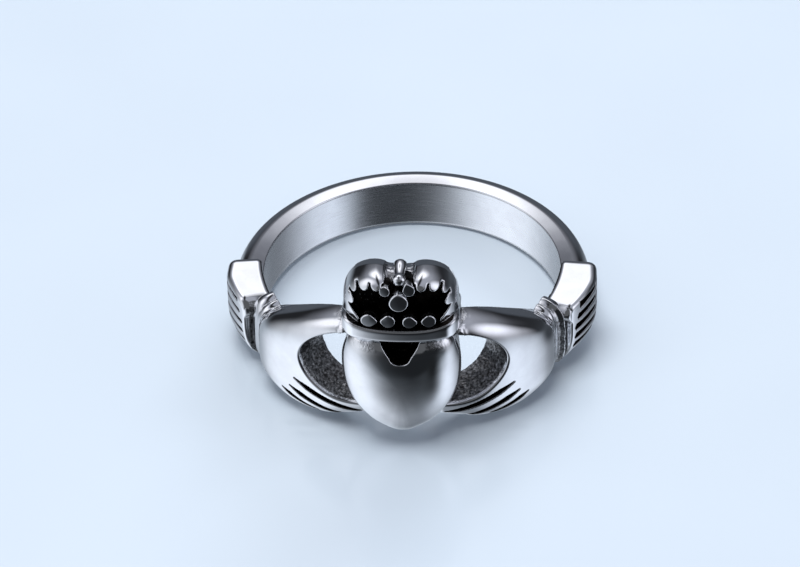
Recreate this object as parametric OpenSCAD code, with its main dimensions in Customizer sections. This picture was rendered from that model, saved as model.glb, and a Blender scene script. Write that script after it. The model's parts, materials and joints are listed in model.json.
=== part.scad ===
// Claddagh ring, cast in one piece: two hands hold a heart that wears a crown.
// The ring lies on its side. The finger axis is Z, and the face looks towards -Y.
// The origin is the centre of the finger hole, half way up the shank. Lengths are in millimetres.

/* [Finger hole] */
// Diameter of the finger hole
bore_d = 19; // [16:0.5:22]
// Clearance behind the face, above and below the shank's width
face_relief = 0.2; // [0.16:0.02:0.3]

/* [Shank] */
// Width of the shank along the finger
shank_w = 3.6; // [3:0.1:4.2]
// Thickness of the shank, from the finger hole to its outer face
shank_t = 2; // [1.5:0.1:2.3]
// Width of the bevel beside the finger hole
bevel_w = 0.6; // [0.3:0.1:0.9]
// Fall of the bevel from its crest to the finger hole
bevel_fall = 0.15; // [0.05:0.05:0.4]

/* [Cuffs] */
// Way round the ring from the middle of the face to the front of a cuff
cuff_start = 13.3; // [12.8:0.1:14.5]
// Length of a cuff round the ring
cuff_l = 4.6; // [3.5:0.1:6]
// Height of a cuff above the middle of the shank
cuff_rise = 2.7; // [2.2:0.1:3.2]
// Depth of a cuff below the middle of the shank
cuff_drop = 2.2; // [2:0.1:2.6]
// Thickness of a cuff
cuff_t = 2.4; // [2.2:0.05:2.8]
// Number of pleats pressed into a cuff
pleats = 5; // [3:1:7]
// Width of the groove between two pleats
pleat_w = 0.34; // [0.2:0.02:0.44]
// Depth of the groove between two pleats
pleat_deep = 0.35; // [0.2:0.05:0.5]
// Plain margin in front of the pleats
pleat_margin = 0.4; // [0.3:0.1:0.8]

/* [Wrists] */
// Thickness of a wrist
wrist_t = 1.1; // [0.9:0.1:1.4]
// Height of a wrist above the middle of the shank
wrist_rise = 2.1; // [1.8:0.1:2.4]
// Depth of a wrist below the middle of the shank
wrist_drop = 1.9; // [1.5:0.1:2]
// Length of the bracelet round a wrist
bracelet_l = 0.5; // [0.3:0.1:0.8]
// How far the bracelet stands out of the wrist
bracelet_t = 0.4; // [0.2:0.05:0.6]

/* [Hands] */
// Way round the ring from the middle of the face to the root of a hand
hand_l = 11.9; // [11.4:0.1:12.4]
// Thickness of a hand
hand_t = 2.3; // [2:0.05:2.6]
// Height of the thumb above the middle of the shank
thumb_rise = 5.4; // [5:0.1:5.8]
// Depth of the lowest finger below the middle of the shank
finger_drop = 2.65; // [2.4:0.05:2.8]
// Width of the groove between two fingers
finger_groove_w = 0.3; // [0.2:0.02:0.4]
// Depth of the groove between two fingers
finger_groove_deep = 0.35; // [0.2:0.05:0.5]

/* [Gap between thumb and fingers] */
// Way round the ring from the middle of the face to the middle of the gap's arch
gap_middle = 3; // [2.6:0.1:3.4]
// Length of the gap from there to its round end
gap_l = 3.95; // [3.4:0.05:4.4]
// Height of the gap along the finger
gap_h = 5.2; // [4.6:0.1:5.4]
// Height of the gap's middle above the middle of the shank
gap_rise = 1.97; // [1.7:0.05:2.2]
// Rise of the gap's lower side towards the finger hole
gap_draft = 0.7; // [0.1:0.1:0.9]

/* [Heart] */
// Width of the heart
heart_w = 7.4; // [7:0.1:8]
// Height of the heart's shoulders over the crown's foot, which hides them
heart_tuck = 0.2; // [0.15:0.05:0.4]
// Depth of the heart's point below the middle of the shank
heart_drop = 1.95; // [1.7:0.05:2.4]
// Depth of the heart's edge, from the finger hole
heart_edge = 2.2; // [1.9:0.05:2.5]
// Height of the heart's dome over its edge
heart_dome = 1.5; // [1:0.1:2]
// Width of the cleft under the crown
cleft_w = 2.9; // [2:0.1:3.4]
// Height of the part of the cleft that shows under the crown
cleft_h = 1.5; // [1:0.1:1.9]
// Depth of the cleft's floor, from the finger hole
cleft_floor = 2.1; // [1.7:0.1:2.6]

/* [Crown] */
// Width of the crown
crown_w = 6.95; // [6.5:0.05:7.4]
// Height of the crown, from the foot of its band to the top of its lobes
crown_h = 4.3; // [4:0.1:4.8]
// Height of the crown's foot above the middle of the shank
crown_foot = 5.1; // [4.9:0.05:5.2]
// Thickness of the crown at its lobes, from the finger hole
crown_t = 2.9; // [2.7:0.05:3.2]
// Height of the band round the crown's foot
band_h = 0.95; // [0.7:0.05:1.2]
// Thickness of the band round the crown's foot, from the finger hole
band_t = 3.3; // [3.15:0.05:3.6]
// Width of the rim round the crown's recess
crown_rim = 0.3; // [0.25:0.05:0.8]
// Height of the crown's lobes over its recess
lobe_h = 0.4; // [0.35:0.05:1]
// Depth of the recess's floor, from the finger hole
recess_floor = 1.9; // [1.6:0.1:2.2]

/* [Beads] */
// Beads in the row above the crown's band
row_beads = 4; // [2:1:5]
// Diameter of a bead in that row
row_bead_d = 0.9; // [0.6:0.05:1]
// Spacing of the beads in that row
row_pitch = 1.25; // [1.1:0.05:1.4]
// Diameter of the large bead in the middle
middle_bead_d = 1.15; // [0.8:0.05:1.4]
// Diameter of the two small beads over it
small_bead_d = 0.72; // [0.5:0.02:0.9]
// Diameter of the stem between the lobes
stem_d = 0.85; // [0.6:0.05:1]
// Depth of the stem's middle under the lobes' tops
stem_sunk = 0.17; // [0.05:0.02:0.35]
// Diameter of a tooth
tooth_d = 0.66; // [0.4:0.02:0.8]

/* [Hidden] */

bore_r = bore_d / 2;
// Radius on which ways round the ring are measured
skin_r = bore_r + hand_t;
// How far solids reach inside the finger hole before it is cut. Each kind of piece reaches
// a little deeper than the last, so that no two of their inner walls coincide.
sink = 0.3;
shank_root = bore_r - sink;
cuff_root = bore_r - 1.3 * sink;
wrist_root = bore_r - 1.6 * sink;
bracelet_root = bore_r - 1.9 * sink;
hand_root = bore_r - 2.3 * sink;
heart_root = bore_r - 2.8 * sink;
crown_root = bore_r - 3.2 * sink;
// Width, foot and top of the arched recess in the crown
recess_w = crown_w - 2 * crown_rim;
recess_foot = crown_foot + band_h / 2;
recess_top = crown_foot + crown_h - lobe_h;
// Overlap of pieces that are fused, and reach of cutters past what they cut
bite = 0.25;
// Squareness of the rounded sections, of their lower and upper halves: 2 is an ellipse, and
// more is boxier
shank_square = [2.3, 2.3];
cuff_square = [2.6, 5];
hand_square = [4.5, 3.6];
wrist_square = [3, 3];
band_square = [2.6, 2.6];
// Squareness of the gap's edge, the recess's arch and the heart's dome
gap_square = 1.9;
arch_square = 5;
dome_square = 2.3;
// Shrink of the heart towards the finger hole
heart_draft = 0.9;
// Middles that the heart and crown shrink towards, as shares of their height
heart_middle = 0.55;
crown_middle = 0.45;
// Share of a bead's diameter that stands between its middle and what it sits on
bead_lift = 0.25;
// Share of a groove between fingers that is left at its ends
groove_end = 0.25;
// Swell of the drop at the stem's front, against the stem
drop_swell = 1.1;
// Share of the crown's thickness at which the stem starts
stem_back = 0.25;
// Steps of curves
circle_facets = 96;
bead_facets = 24;
section_steps = 12;
hand_steps = 3;
groove_steps = 8;
gap_steps = 36;
arch_steps = 24;
outline_steps = 3;
dome_steps = 7;

// Angle round the ring, from the middle of the face, of a way along the skin
function turn(way) = way / skin_r * 180 / PI;

// Signed power, for the rounded sections
function powered(value, square) = sign(value) * pow(abs(value), 2 / square);

// Place at an angle round the ring, a radius and a height
function place(angle, radius, height) = [radius * sin(angle), -radius * cos(angle), height];

// Point on the skin of a cylinder round the finger, over a place across the face
function over(across, height, radius) = [across, -sqrt(radius * radius - across * across), height];

// Smooth curve value through four neighbours, at a share of the middle stretch
function blend(a, b, c, d, t) = b + (c - a) * t / 2 + (2 * a - 5 * b + 4 * c - d) * t * t / 2
    + (3 * b - a - 3 * c + d) * t * t * t / 2;

// Smooth curve through a table's rows, with the given steps between rows
function smooth(rows, steps) = let (last = len(rows) - 1) [
    for (i = [0 : last - 1], k = [0 : steps - 1])
        blend(rows[max(i - 1, 0)], rows[i], rows[i + 1], rows[min(i + 2, last)], k / steps),
    rows[last]
];

// Half round section, from its foot to its top: [radius, height]. Its lower and upper halves
// have the two squarenesses given.
function half_round(root, rise, drop, depth, squares, steps) = [
    for (i = [0 : steps])
        let (a = -90 + 180 * i / steps, square = a < 0 ? squares[0] : squares[1])
            [
                root + depth * powered(cos(a), square),
                (rise - drop) / 2 + (rise + drop) / 2 * powered(sin(a), square)
            ]
];

// Faces of a wall through rings of as many points each, with a cap on the first ring.
// Seen from the first ring, the points run clockwise.
function wall(count, last) = concat(
    [[for (i = [count - 1 : -1 : 0]) i]],
    [for (row = [0 : last - 1], i = [0 : count - 1])
        let (a = row * count + i, b = row * count + (i + 1) % count)
            each [[a, b, b + count], [a, b + count, a + count]]]
);

// Closed solid through rings, flat at both ends
module loft(rings) {
    count = len(rings[0]);
    last = len(rings) - 1;
    far_cap = [[for (i = [0 : count - 1]) last * count + i]];
    polyhedron(points = [for (ring = rings) each ring], faces = concat(wall(count, last), far_cap));
}

// Closed solid through rings, drawn to a point over the last ring
module domed(rings, point) {
    count = len(rings[0]);
    last = len(rings) - 1;
    tip = count * (last + 1);
    fan = [for (i = [0 : count - 1]) [last * count + i, last * count + (i + 1) % count, tip]];
    points = concat([for (ring = rings) each ring], [point]);
    polyhedron(points = points, faces = concat(wall(count, last), fan));
}

// Turns a section round the finger axis between two angles from the middle of the face
module sweep(from, to) {
    rotate_extrude(angle = to - from, start = from - 90, $fn = circle_facets) children();
}

module both_sides() {
    children();
    mirror([1, 0, 0]) children();
}

// Plain D shaped band, from the back of one cuff round to the other
module shank() {
    crest = bore_r + bevel_w;
    half = shank_w / 2;
    inner = half - bevel_fall * (1 + (bore_r - shank_root) / bevel_w);
    outer = half_round(crest, half, half, shank_t - bevel_w, shank_square, section_steps);
    reach = turn(cuff_start + cuff_l / 2);
    color("silver") sweep(reach, 360 - reach)
        polygon(concat([[shank_root, -inner]], outer, [[shank_root, inner]]));
}

// Pleated cuff. The grooves run round the ring and stop short of its front edge.
module cuff() {
    from = turn(cuff_start);
    to = turn(cuff_start + cuff_l);
    groove_from = turn(cuff_start + pleat_margin);
    groove_to = turn(cuff_start + cuff_l + bite);
    pitch = (cuff_rise + cuff_drop) / (pleats + 1);
    color("silver") difference() {
        sweep(from, to)
            polygon(half_round(cuff_root, cuff_rise, cuff_drop, bore_r + cuff_t - cuff_root, cuff_square,
                section_steps));
        for (i = [1 : pleats])
            translate([0, 0, i * pitch - cuff_drop])
                sweep(groove_from, groove_to)
                    pleat_groove();
    }
}

// V shaped section of the groove between two pleats
module pleat_groove() {
    outer = bore_r + cuff_t + bite;
    floor_r = bore_r + cuff_t - pleat_deep;
    polygon([[floor_r, 0], [outer, -pleat_w], [outer, pleat_w]]);
}

// Wrist between the cuff and the hand, with a thin bracelet round it
module wrist() {
    from = turn(hand_l - 2 * bite);
    to = turn(cuff_start + bite);
    middle = turn((hand_l + cuff_start) / 2);
    half = turn(bracelet_l / 2);
    color("silver") {
        sweep(from, to)
            polygon(half_round(wrist_root, wrist_rise, wrist_drop, bore_r + wrist_t - wrist_root,
                wrist_square, section_steps));
        sweep(middle - half, middle + half)
            polygon(half_round(bracelet_root, wrist_rise + bracelet_t, wrist_drop + bracelet_t,
                bore_r + wrist_t + bracelet_t - bracelet_root, wrist_square, section_steps));
    }
}

// Sections of a hand, from inside the heart to its root at the wrist.
// Columns: way as a share of hand_l, top as a share of thumb_rise, foot as a share of
// finger_drop, thickness as a share of hand_t
hand_rows = smooth([
    [0.20, 1.00, 0.66, 0.95],
    [0.28, 1.00, 0.75, 0.97],
    [0.42, 0.97, 0.93, 1.00],
    [0.56, 0.89, 1.00, 1.00],
    [0.70, 0.77, 0.96, 1.00],
    [0.84, 0.63, 0.78, 0.98],
    [0.94, 0.52, 0.66, 0.85],
    [1.00, 0.44, 0.60, 0.60]
], hand_steps);

// Ring of points round a hand at one row
function hand_ring(row) = let (
    depth = bore_r + row[3] * hand_t - hand_root,
    curve = half_round(hand_root, row[1] * thumb_rise, row[2] * finger_drop, depth, hand_square,
        section_steps)
) [for (p = curve) place(turn(row[0] * hand_l), p[0], p[1])];

// Radius of the skin of a hand at a row and a height
function hand_skin(row, height) = let (
    rise = row[1] * thumb_rise,
    drop = row[2] * finger_drop,
    share = (height - (rise - drop) / 2) / ((rise + drop) / 2),
    square = share < 0 ? hand_square[0] : hand_square[1]
) hand_root + (bore_r + row[3] * hand_t - hand_root) * pow(max(0, 1 - pow(abs(share), square)), 1 / square);

// Edge of the gap that is cut through between thumb and fingers, at a radius
function gap_edge(radius) = let (rise = gap_draft * (skin_r - radius) / hand_t) [
    for (i = [0 : gap_steps - 1]) let (a = 360 * i / gap_steps)
        place(turn(gap_middle + (gap_l - rise / 2) * powered(cos(a), gap_square)), radius,
            gap_rise + rise / 2 + (gap_h - rise) / 2 * powered(sin(a), gap_square))
];

// Grooves between the fingers. Columns: first way and height, last way and height, as shares of
// hand_l and finger_drop
finger_rows = [
    [0.64, 0.00, 0.26, -0.50],
    [0.66, -0.28, 0.38, -0.70],
    [0.72, -0.46, 0.52, -0.76]
];

// Row of the hand's table at a way round the ring
function hand_row(share) = [
    share,
    lookup(share, [for (row = hand_rows) [row[0], row[1]]]),
    lookup(share, [for (row = hand_rows) [row[0], row[2]]]),
    lookup(share, [for (row = hand_rows) [row[0], row[3]]])
];

// V shaped cutter for one groove between fingers, which thins out at both ends
module finger_groove(row) {
    loft([
        for (i = [0 : groove_steps]) let (
            t = i / groove_steps,
            way = row[0] + (row[2] - row[0]) * t,
            height = (row[1] + (row[3] - row[1]) * t) * finger_drop,
            fade = groove_end + (1 - groove_end) * sin(180 * t),
            skin = hand_skin(hand_row(way), height),
            angle = turn(way * hand_l)
        ) [
            place(angle, skin - finger_groove_deep * fade, height),
            place(angle, skin + bite, height + finger_groove_w * fade),
            place(angle, skin + bite, height - finger_groove_w * fade)
        ]
    ]);
}

// One hand: thumb above, four fingers below, and the back of the hand behind the gap
module hand() {
    cut_from = heart_root;
    cut_to = skin_r + hand_t;
    color("silver") difference() {
        loft([for (row = hand_rows) hand_ring(row)]);
        loft([gap_edge(cut_to), gap_edge(cut_from)]);
        for (row = finger_rows) finger_groove(row);
    }
}

// Right half of the heart's edge, from its point up to the middle of its top.
// Columns: share of half the width, share of the height from point to shoulders
heart_half = smooth([
    [0, 0],
    [0.24, 0.03],
    [0.54, 0.12],
    [0.80, 0.27],
    [0.95, 0.44],
    [1, 0.62],
    [0.98, 0.80],
    [0.86, 0.94],
    [0.60, 1],
    [0, 1]
], outline_steps);

// Both halves of an outline whose first and last rows lie on the middle line
function mirrored(half) = concat(
    [for (p = half) [-p[0], p[1]]],
    [for (i = [len(half) - 2 : -1 : 1]) half[i]]
);

// Ring of an outline, shrunk about a centre height and laid over a cylinder
function outline_ring(outline, half_w, foot, tall, centre, shrink, radius) = [
    for (p = outline)
        over(p[0] * half_w * shrink, centre + (foot + p[1] * tall - centre) * shrink, radius)
];

// Domed heart, with the cleft of its two lobes under the crown
module heart() {
    tall = crown_foot + heart_tuck + heart_drop;
    centre = heart_middle * tall - heart_drop;
    outline = mirrored(heart_half);
    half_w = heart_w / 2;
    edge_r = bore_r + heart_edge;
    color("silver") difference() {
        domed(concat(
            [outline_ring(outline, half_w, -heart_drop, tall, centre, heart_draft, heart_root)],
            [for (i = [0 : dome_steps - 1]) let (a = 90 * i / dome_steps)
                outline_ring(outline, half_w, -heart_drop, tall, centre, powered(cos(a), dome_square),
                    edge_r + heart_dome * powered(sin(a), dome_square))]
        ), over(0, centre, edge_r + heart_dome));
        cleft_cut();
    }
}

// Right half of the cleft's edge. Columns: share of half the width, share of the height
cleft_half = [[0, 0], [0.3, 0.08], [0.5, 0.35], [0.6, 0.62], [1, 1], [1.1, 1.4], [0, 1.4]];

// Cutter for the cleft, down to its floor
module cleft_cut() {
    from = bore_r + cleft_floor;
    to = bore_r + heart_edge + heart_dome + bite;
    rotate([90, 0, 0])
        translate([0, crown_foot - cleft_h, from])
            linear_extrude(to - from)
                polygon([for (p = mirrored(cleft_half)) [p[0] * cleft_w / 2, p[1] * cleft_h]]);
}

// Right half of the crown's edge, from the middle of its foot to the dip between its lobes.
// Columns: share of half the width, share of the height
crown_half = smooth([
    [0, 0],
    [0.5, 0],
    [1, 0],
    [1, 0.35],
    [0.985, 0.62],
    [0.92, 0.81],
    [0.78, 0.93],
    [0.56, 1],
    [0.34, 0.98],
    [0.16, 0.90],
    [0, 0.89]
], outline_steps);

// Depths of the crown's rounded body. Columns: shrink, share of its thickness
crown_rows = [[0.93, 0.15], [1, 0.4], [1, 0.72], [0.97, 0.88], [0.91, 1]];

// Body of the crown, hollowed in front to a curved floor
module crown_body() {
    centre = crown_foot + crown_middle * crown_h;
    outline = mirrored(crown_half);
    half_w = crown_w / 2;
    difference() {
        domed(concat(
            [outline_ring(outline, half_w, crown_foot, crown_h, centre, crown_rows[0][0], crown_root)],
            [for (row = crown_rows)
                outline_ring(outline, half_w, crown_foot, crown_h, centre, row[0],
                    bore_r + crown_t * row[1])]
        ), over(0, centre, bore_r + crown_t));
        difference() {
            recess_cut();
            cylinder(r = bore_r + recess_floor, h = 4 * crown_h, $fn = circle_facets);
        }
    }
}

// Point on the arch of the recess, at an angle up from the crown's foot
function arch_point(angle) = [
    recess_w / 2 * powered(cos(angle), arch_square),
    recess_foot + (recess_top - recess_foot) * powered(sin(angle), arch_square)
];

// Cutter with the outline of the recess, from inside its curved floor to past the crown's front
module recess_cut() {
    from = bore_r + recess_floor - 2 * bite;
    to = bore_r + crown_t + bite;
    rotate([90, 0, 0])
        translate([0, 0, from])
            linear_extrude(to - from)
                polygon([for (i = [0 : arch_steps]) arch_point(180 * i / arch_steps)]);
}

// Rounded band along the crown's foot
module crown_band() {
    reach = asin(crown_w / 2 / (bore_r + crown_t));
    translate([0, 0, crown_foot + band_h / 2])
        sweep(-reach, reach)
            polygon(half_round(bore_r + recess_floor, band_h / 2, band_h / 2, band_t - recess_floor,
                band_square, section_steps));
}

// Bead whose middle lies at a depth from the finger hole
module bead(across, height, size, depth) {
    translate(over(across, height, bore_r + depth)) sphere(d = size, $fn = bead_facets);
}

// Stem between the lobes, lying over the crown's top and ending in a drop in front
module stem() {
    height = crown_foot + crown_h - stem_sunk;
    back = bore_r + stem_back * crown_t;
    front = bore_r + crown_t - stem_d / 2;
    translate([0, -back, height])
        rotate([90, 0, 0])
            cylinder(d = stem_d, h = front - back, $fn = bead_facets);
    translate([0, -back, height]) sphere(d = stem_d, $fn = bead_facets);
    translate([0, -front, height]) sphere(d = drop_swell * stem_d, $fn = bead_facets);
}

// Angles up the arch at which its teeth stand
tooth_angles = [3, 15, 37, 62, 78];

// Beads, teeth and stem of the crown
module crown_beads() {
    row_height = crown_foot + band_h + row_bead_d / 2;
    middle_height = (row_height + recess_top) / 2;
    for (i = [0 : row_beads - 1])
        bead((i - (row_beads - 1) / 2) * row_pitch, row_height, row_bead_d,
            recess_floor + bead_lift * row_bead_d);
    bead(0, middle_height, middle_bead_d, recess_floor + bead_lift * middle_bead_d);
    both_sides() {
        bead((middle_bead_d + small_bead_d) / 2, recess_top - small_bead_d / 2, small_bead_d,
            crown_t - small_bead_d / 2);
        for (angle = tooth_angles)
            let (p = arch_point(angle))
                bead(p[0], p[1], tooth_d, crown_t - tooth_d / 2);
    }
    stem();
}

module crown() {
    color("silver") {
        crown_body();
        crown_band();
        crown_beads();
    }
}

// Cuts the finger hole through a piece. Above and below the band's width, the back of the face
// stands clear of the finger.
module bored() {
    reach = 2 * (crown_foot + crown_h);
    band = shank_w / 2;
    back_r = bore_r + face_relief;
    upper = [[bore_r, band], [back_r, band + face_relief], [back_r, reach], [0, reach]];
    lower = [[0, -reach], [back_r, -reach], [back_r, -band - face_relief], [bore_r, -band]];
    difference() {
        union() children();
        rotate_extrude($fn = circle_facets) polygon(concat(lower, upper));
    }
}

// The whole casting, one solid
module ring() {
    bored() {
        shank();
        both_sides() {
            cuff();
            wrist();
        }
    }
    both_sides() bored() hand();
    bored() heart();
    bored() crown();
}

ring();
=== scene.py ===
"""Dressed model of a claddagh ring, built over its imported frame.

Each sub-assembly states its shape as a signed field in millimetres, negative inside the metal.
A mesher turns the field into a closed mesh with smooth normals, and the same fields say where
the metal was blackened and where it was left rough from the mould. Points, called p, are in
millimetres, one a row. The first two numbers of ease() are the distances between which a shape
or a finish fades in or out.
"""

import json
import logging
import math
from dataclasses import dataclass
from enum import Enum
from typing import Callable, Sequence

import bmesh
import bpy
import numpy as np
from mathutils import Matrix, Vector

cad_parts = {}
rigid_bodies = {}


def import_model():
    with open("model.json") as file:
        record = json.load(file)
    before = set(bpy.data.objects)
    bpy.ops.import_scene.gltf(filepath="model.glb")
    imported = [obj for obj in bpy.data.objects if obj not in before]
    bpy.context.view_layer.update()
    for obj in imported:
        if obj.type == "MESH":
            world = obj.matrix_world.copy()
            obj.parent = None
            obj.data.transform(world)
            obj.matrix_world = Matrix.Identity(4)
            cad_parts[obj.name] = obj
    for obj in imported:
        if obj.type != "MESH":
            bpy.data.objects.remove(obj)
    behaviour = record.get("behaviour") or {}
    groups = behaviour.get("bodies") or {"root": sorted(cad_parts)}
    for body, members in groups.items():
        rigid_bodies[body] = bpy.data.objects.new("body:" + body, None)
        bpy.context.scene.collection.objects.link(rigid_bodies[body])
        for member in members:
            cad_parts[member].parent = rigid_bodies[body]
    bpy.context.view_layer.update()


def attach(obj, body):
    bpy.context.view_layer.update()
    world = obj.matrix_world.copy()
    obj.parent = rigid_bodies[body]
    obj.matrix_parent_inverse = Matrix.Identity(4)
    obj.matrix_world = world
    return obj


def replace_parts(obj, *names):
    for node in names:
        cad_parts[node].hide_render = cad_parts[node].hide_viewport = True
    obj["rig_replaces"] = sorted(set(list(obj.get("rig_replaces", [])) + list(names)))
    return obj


logging.basicConfig(level=logging.INFO, format="%(levelname)s %(message)s")
log = logging.getLogger("claddagh")

Array = np.ndarray
Amount = Array | float
Field = Callable[[Array], Array]
Rows = Sequence[Sequence[float]]
Pair, Triple = tuple[float, float], tuple[float, float, float]
Object, Mesh, Material = bpy.types.Object, bpy.types.Mesh, bpy.types.Material
Plan = Sequence[tuple[str, str, dict[str, object], dict[str | int, object]]]

MM = 0.001
NODE, BODY, SLOT = "ring", "root", "steel"
TINY = 1e-9
# value of a field where its shape can't reach
FAR = 3.0
# odd numbers that scatter the cells of the noise, and the bits that it keeps
SCATTER = np.array((73856093, 19349663, 83492791))
BITS = 0xFFFFFF

NOISE, SUMS, RAMP, MIX, BUMP, MARK, SPOT, VECTOR = (
    f"ShaderNode{kind}"
    for kind in (
        "TexNoise", "Math", "MapRange", "Mix", "Bump", "Attribute", "TexCoord", "VectorMath",
    )
)
SMOOTH, COLOUR = {"interpolation_type": "SMOOTHSTEP"}, {"data_type": "RGBA"}


class Side(Enum):
    """Side of the ring, seen by someone who looks at the heart."""

    LEFT = -1
    RIGHT = 1


class Mark(Enum):
    """Attributes that tell the steel how a spot was finished."""

    TARNISH = "tarnish"
    ROUGH = "rough"
    SATIN = "satin"


# ---- fields


def ease(low: float, high: float, value: Array) -> Array:
    """Rise from 0 at low to 1 at high, level at both ends; high may lie under low."""
    t = np.clip((value - low) / (high - low), 0, 1)
    return t * t * (3 - 2 * t)


def join(a: Array, b: Array, radius: float) -> Array:
    """Union of two fields with a fillet of about the radius given."""
    h = np.clip(0.5 + 0.5 * (b - a) / radius, 0, 1)
    return b * (1 - h) + a * h - radius * h * (1 - h)


def cut(a: Array, tool: Array, radius: float) -> Array:
    """Field a without the tool, with the edge rounded by about the radius given."""
    return -join(-a, tool, radius)


def meet(a: Array, b: Array, radius: float) -> Array:
    """Common part of two fields, with its edge rounded by about the radius given."""
    return -join(-a, -b, radius)


def in_front(p: Array, form: Array) -> Array:
    """Field without what would lie behind the finger."""
    return np.where(p[:, 1] < 0, form, FAR)


def from_axis(p: Array) -> Array:
    """Radius of points."""
    return np.hypot(p[:, 0], p[:, 1])


def around(p: Array) -> tuple[Array, Array]:
    """Angle from the middle of the face, in radians, and radius, of points."""
    return np.arctan2(p[:, 0], -p[:, 1]), from_axis(p)


def catmull(rows: Rows, steps: int = 24) -> Array:
    """Smooth curve through rows of numbers.

    Args:
        rows: The rows to pass through.
        steps: Points in each stretch between two rows.

    Returns:
        The points, one per row of the array.
    """
    r = np.array(rows, float)
    out = []
    for i in range(len(r) - 1):
        a, b, c, d = r[max(i - 1, 0)], r[i], r[i + 1], r[min(i + 2, len(r) - 1)]
        t = np.linspace(0, 1, steps, endpoint=False)[:, None]
        bend = (2 * a - 5 * b + 4 * c - d) * t**2 / 2
        out.append(b + (c - a) * t / 2 + bend + (3 * b - a - 3 * c + d) * t**3 / 2)
    return np.vstack(out + [r[-1:]])


def lumps(p: Array, size: float) -> Array:
    """Even noise between -1 and 1, the same on every run.

    Args:
        p: Points.
        size: Size of a lump in millimetres.

    Returns:
        The noise at the points.
    """
    q = p / size
    cell = np.floor(q)
    t = q - cell
    t = t * t * (3 - 2 * t)
    cell = cell.astype(np.int64)
    total = np.zeros(len(p))
    for corner in range(8):
        step = np.array([corner & 1, corner >> 1 & 1, corner >> 2])
        key = np.bitwise_xor.reduce((cell + step) * SCATTER, axis=1)
        key = ((key & BITS) * 48271 + 11) & BITS
        key = ((key ^ (key >> 11)) * 69621 + 7) & BITS
        total += np.where(step, t, 1 - t).prod(1) * (key / (BITS >> 1) - 1)
    return total


def roughen(form: Array, p: Array, share: Array, depth: float, size: float) -> Array:
    """Field with the grain of the mould on it.

    Args:
        form: The smooth field at the points.
        p: Points.
        share: Share of the grain at each point.
        depth: Depth of the grain.
        size: Size of its lumps.

    Returns:
        The field with its grain.
    """
    out = form.copy()
    # far from the surface the grain is not needed
    at = (share > 0) & (np.abs(form) < 4 * depth + 0.2)
    coarse, fine = lumps(p[at], size), lumps(p[at], size * 0.45)
    out[at] += share[at] * depth * (coarse + 0.6 * fine)
    return out


def slot(
    spots: Sequence[Array],
    start: Sequence[float],
    end: Sequence[float],
    skin: Array,
    width: Callable[[Array], Array],
    bow: float = 0.0,
) -> Array:
    """Field of a groove that follows a line on a skin.

    Args:
        spots: The two coordinates of the points on the skin.
        start: Where the line starts, in the same coordinates.
        end: Where it ends.
        skin: Distance of the points to the skin.
        width: Half width of the groove at each share of its length.
        bow: How far the line bends to one side, in the middle four times over.

    Returns:
        Roughly the distance to the groove's wall.
    """
    run, fall = end[0] - start[0], end[1] - start[1]
    size = math.hypot(run, fall)
    dx, dz = spots[0] - start[0], spots[1] - start[1]
    along = (dx * run + dz * fall) / size**2
    t = np.clip(along, 0, 1)
    aside = (dx * fall - dz * run) / size + bow * (t - t * t)
    # the groove is nearly twice as deep as its half width
    deep = 0.55 * skin
    return np.sqrt(aside**2 + ((along - t) * size) ** 2 + deep**2) - width(t)


def rounded(u: Array, v: Array, n: Amount, wide: Amount, tall: Amount) -> Array:
    """Field of a rounded box, from an ellipse to nearly square.

    Args:
        u: Distance from its middle on one axis, over its half size there.
        v: The same on the other axis.
        n: Squareness; 2 is an ellipse.
        wide: Half size on the first axis.
        tall: Half size on the second axis.

    Returns:
        Roughly the distance to its surface.
    """
    a, b = u**n, v**n
    total = np.maximum(a + b, TINY)
    return (total ** (1 / n) - 1) * (a * wide + b * tall) / total


def section(
    radius: Array,
    height: Array,
    root: float,
    outer: Amount,
    top: Amount,
    foot: Amount,
    squares: Pair,
) -> Array:
    """Field of a half round section that is open towards the finger.

    Args:
        radius: Radius of the points.
        height: Height of the points.
        root: Radius at which the section is tallest.
        outer: Radius of its outer face.
        top: Height of its top.
        foot: Height of its foot, under zero.
        squares: Squareness of its lower and upper half.

    Returns:
        Roughly the distance to its surface.
    """
    half, depth = (top - foot) / 2, outer - root
    q = (height - (top + foot) / 2) / half
    n = np.where(q < 0, squares[0], squares[1])
    return rounded(np.maximum((radius - root) / depth, 0), np.abs(q), n, depth, half)


class Gauge:
    """Outline as a scale about its centre: 1 on the outline and 0 at the centre."""

    def __init__(
        self, half: Rows, width: float, foot: float, height: float, middle: float
    ) -> None:
        """Store the outline's radius at each angle about the centre.

        Args:
            half: Right half of the outline: share of half the width, share of the height.
            width: Width of the outline.
            foot: Height of its foot.
            height: Its height over the foot.
            middle: Share of the height at which its centre lies.
        """
        self.middle = foot + middle * height
        rows = catmull(half) * (width / 2, height) + (0, foot)
        x, z = (np.vstack([rows * (-1, 1), rows[-2:0:-1]]) - (0, self.middle)).T
        angle = np.arctan2(z, x)
        order = np.argsort(angle)
        self.angle, self.radius = angle[order], np.hypot(x, z)[order]

    def __call__(self, p: Array) -> tuple[Array, Array]:
        """Read the gauge.

        Args:
            p: Points.

        Returns:
            Scale of the points, and the outline's radius in their direction.
        """
        x, z = p[:, 0], p[:, 2] - self.middle
        reach = np.interp(np.arctan2(z, x), self.angle, self.radius, period=2 * math.pi)
        return np.hypot(x, z) / reach, reach


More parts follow.
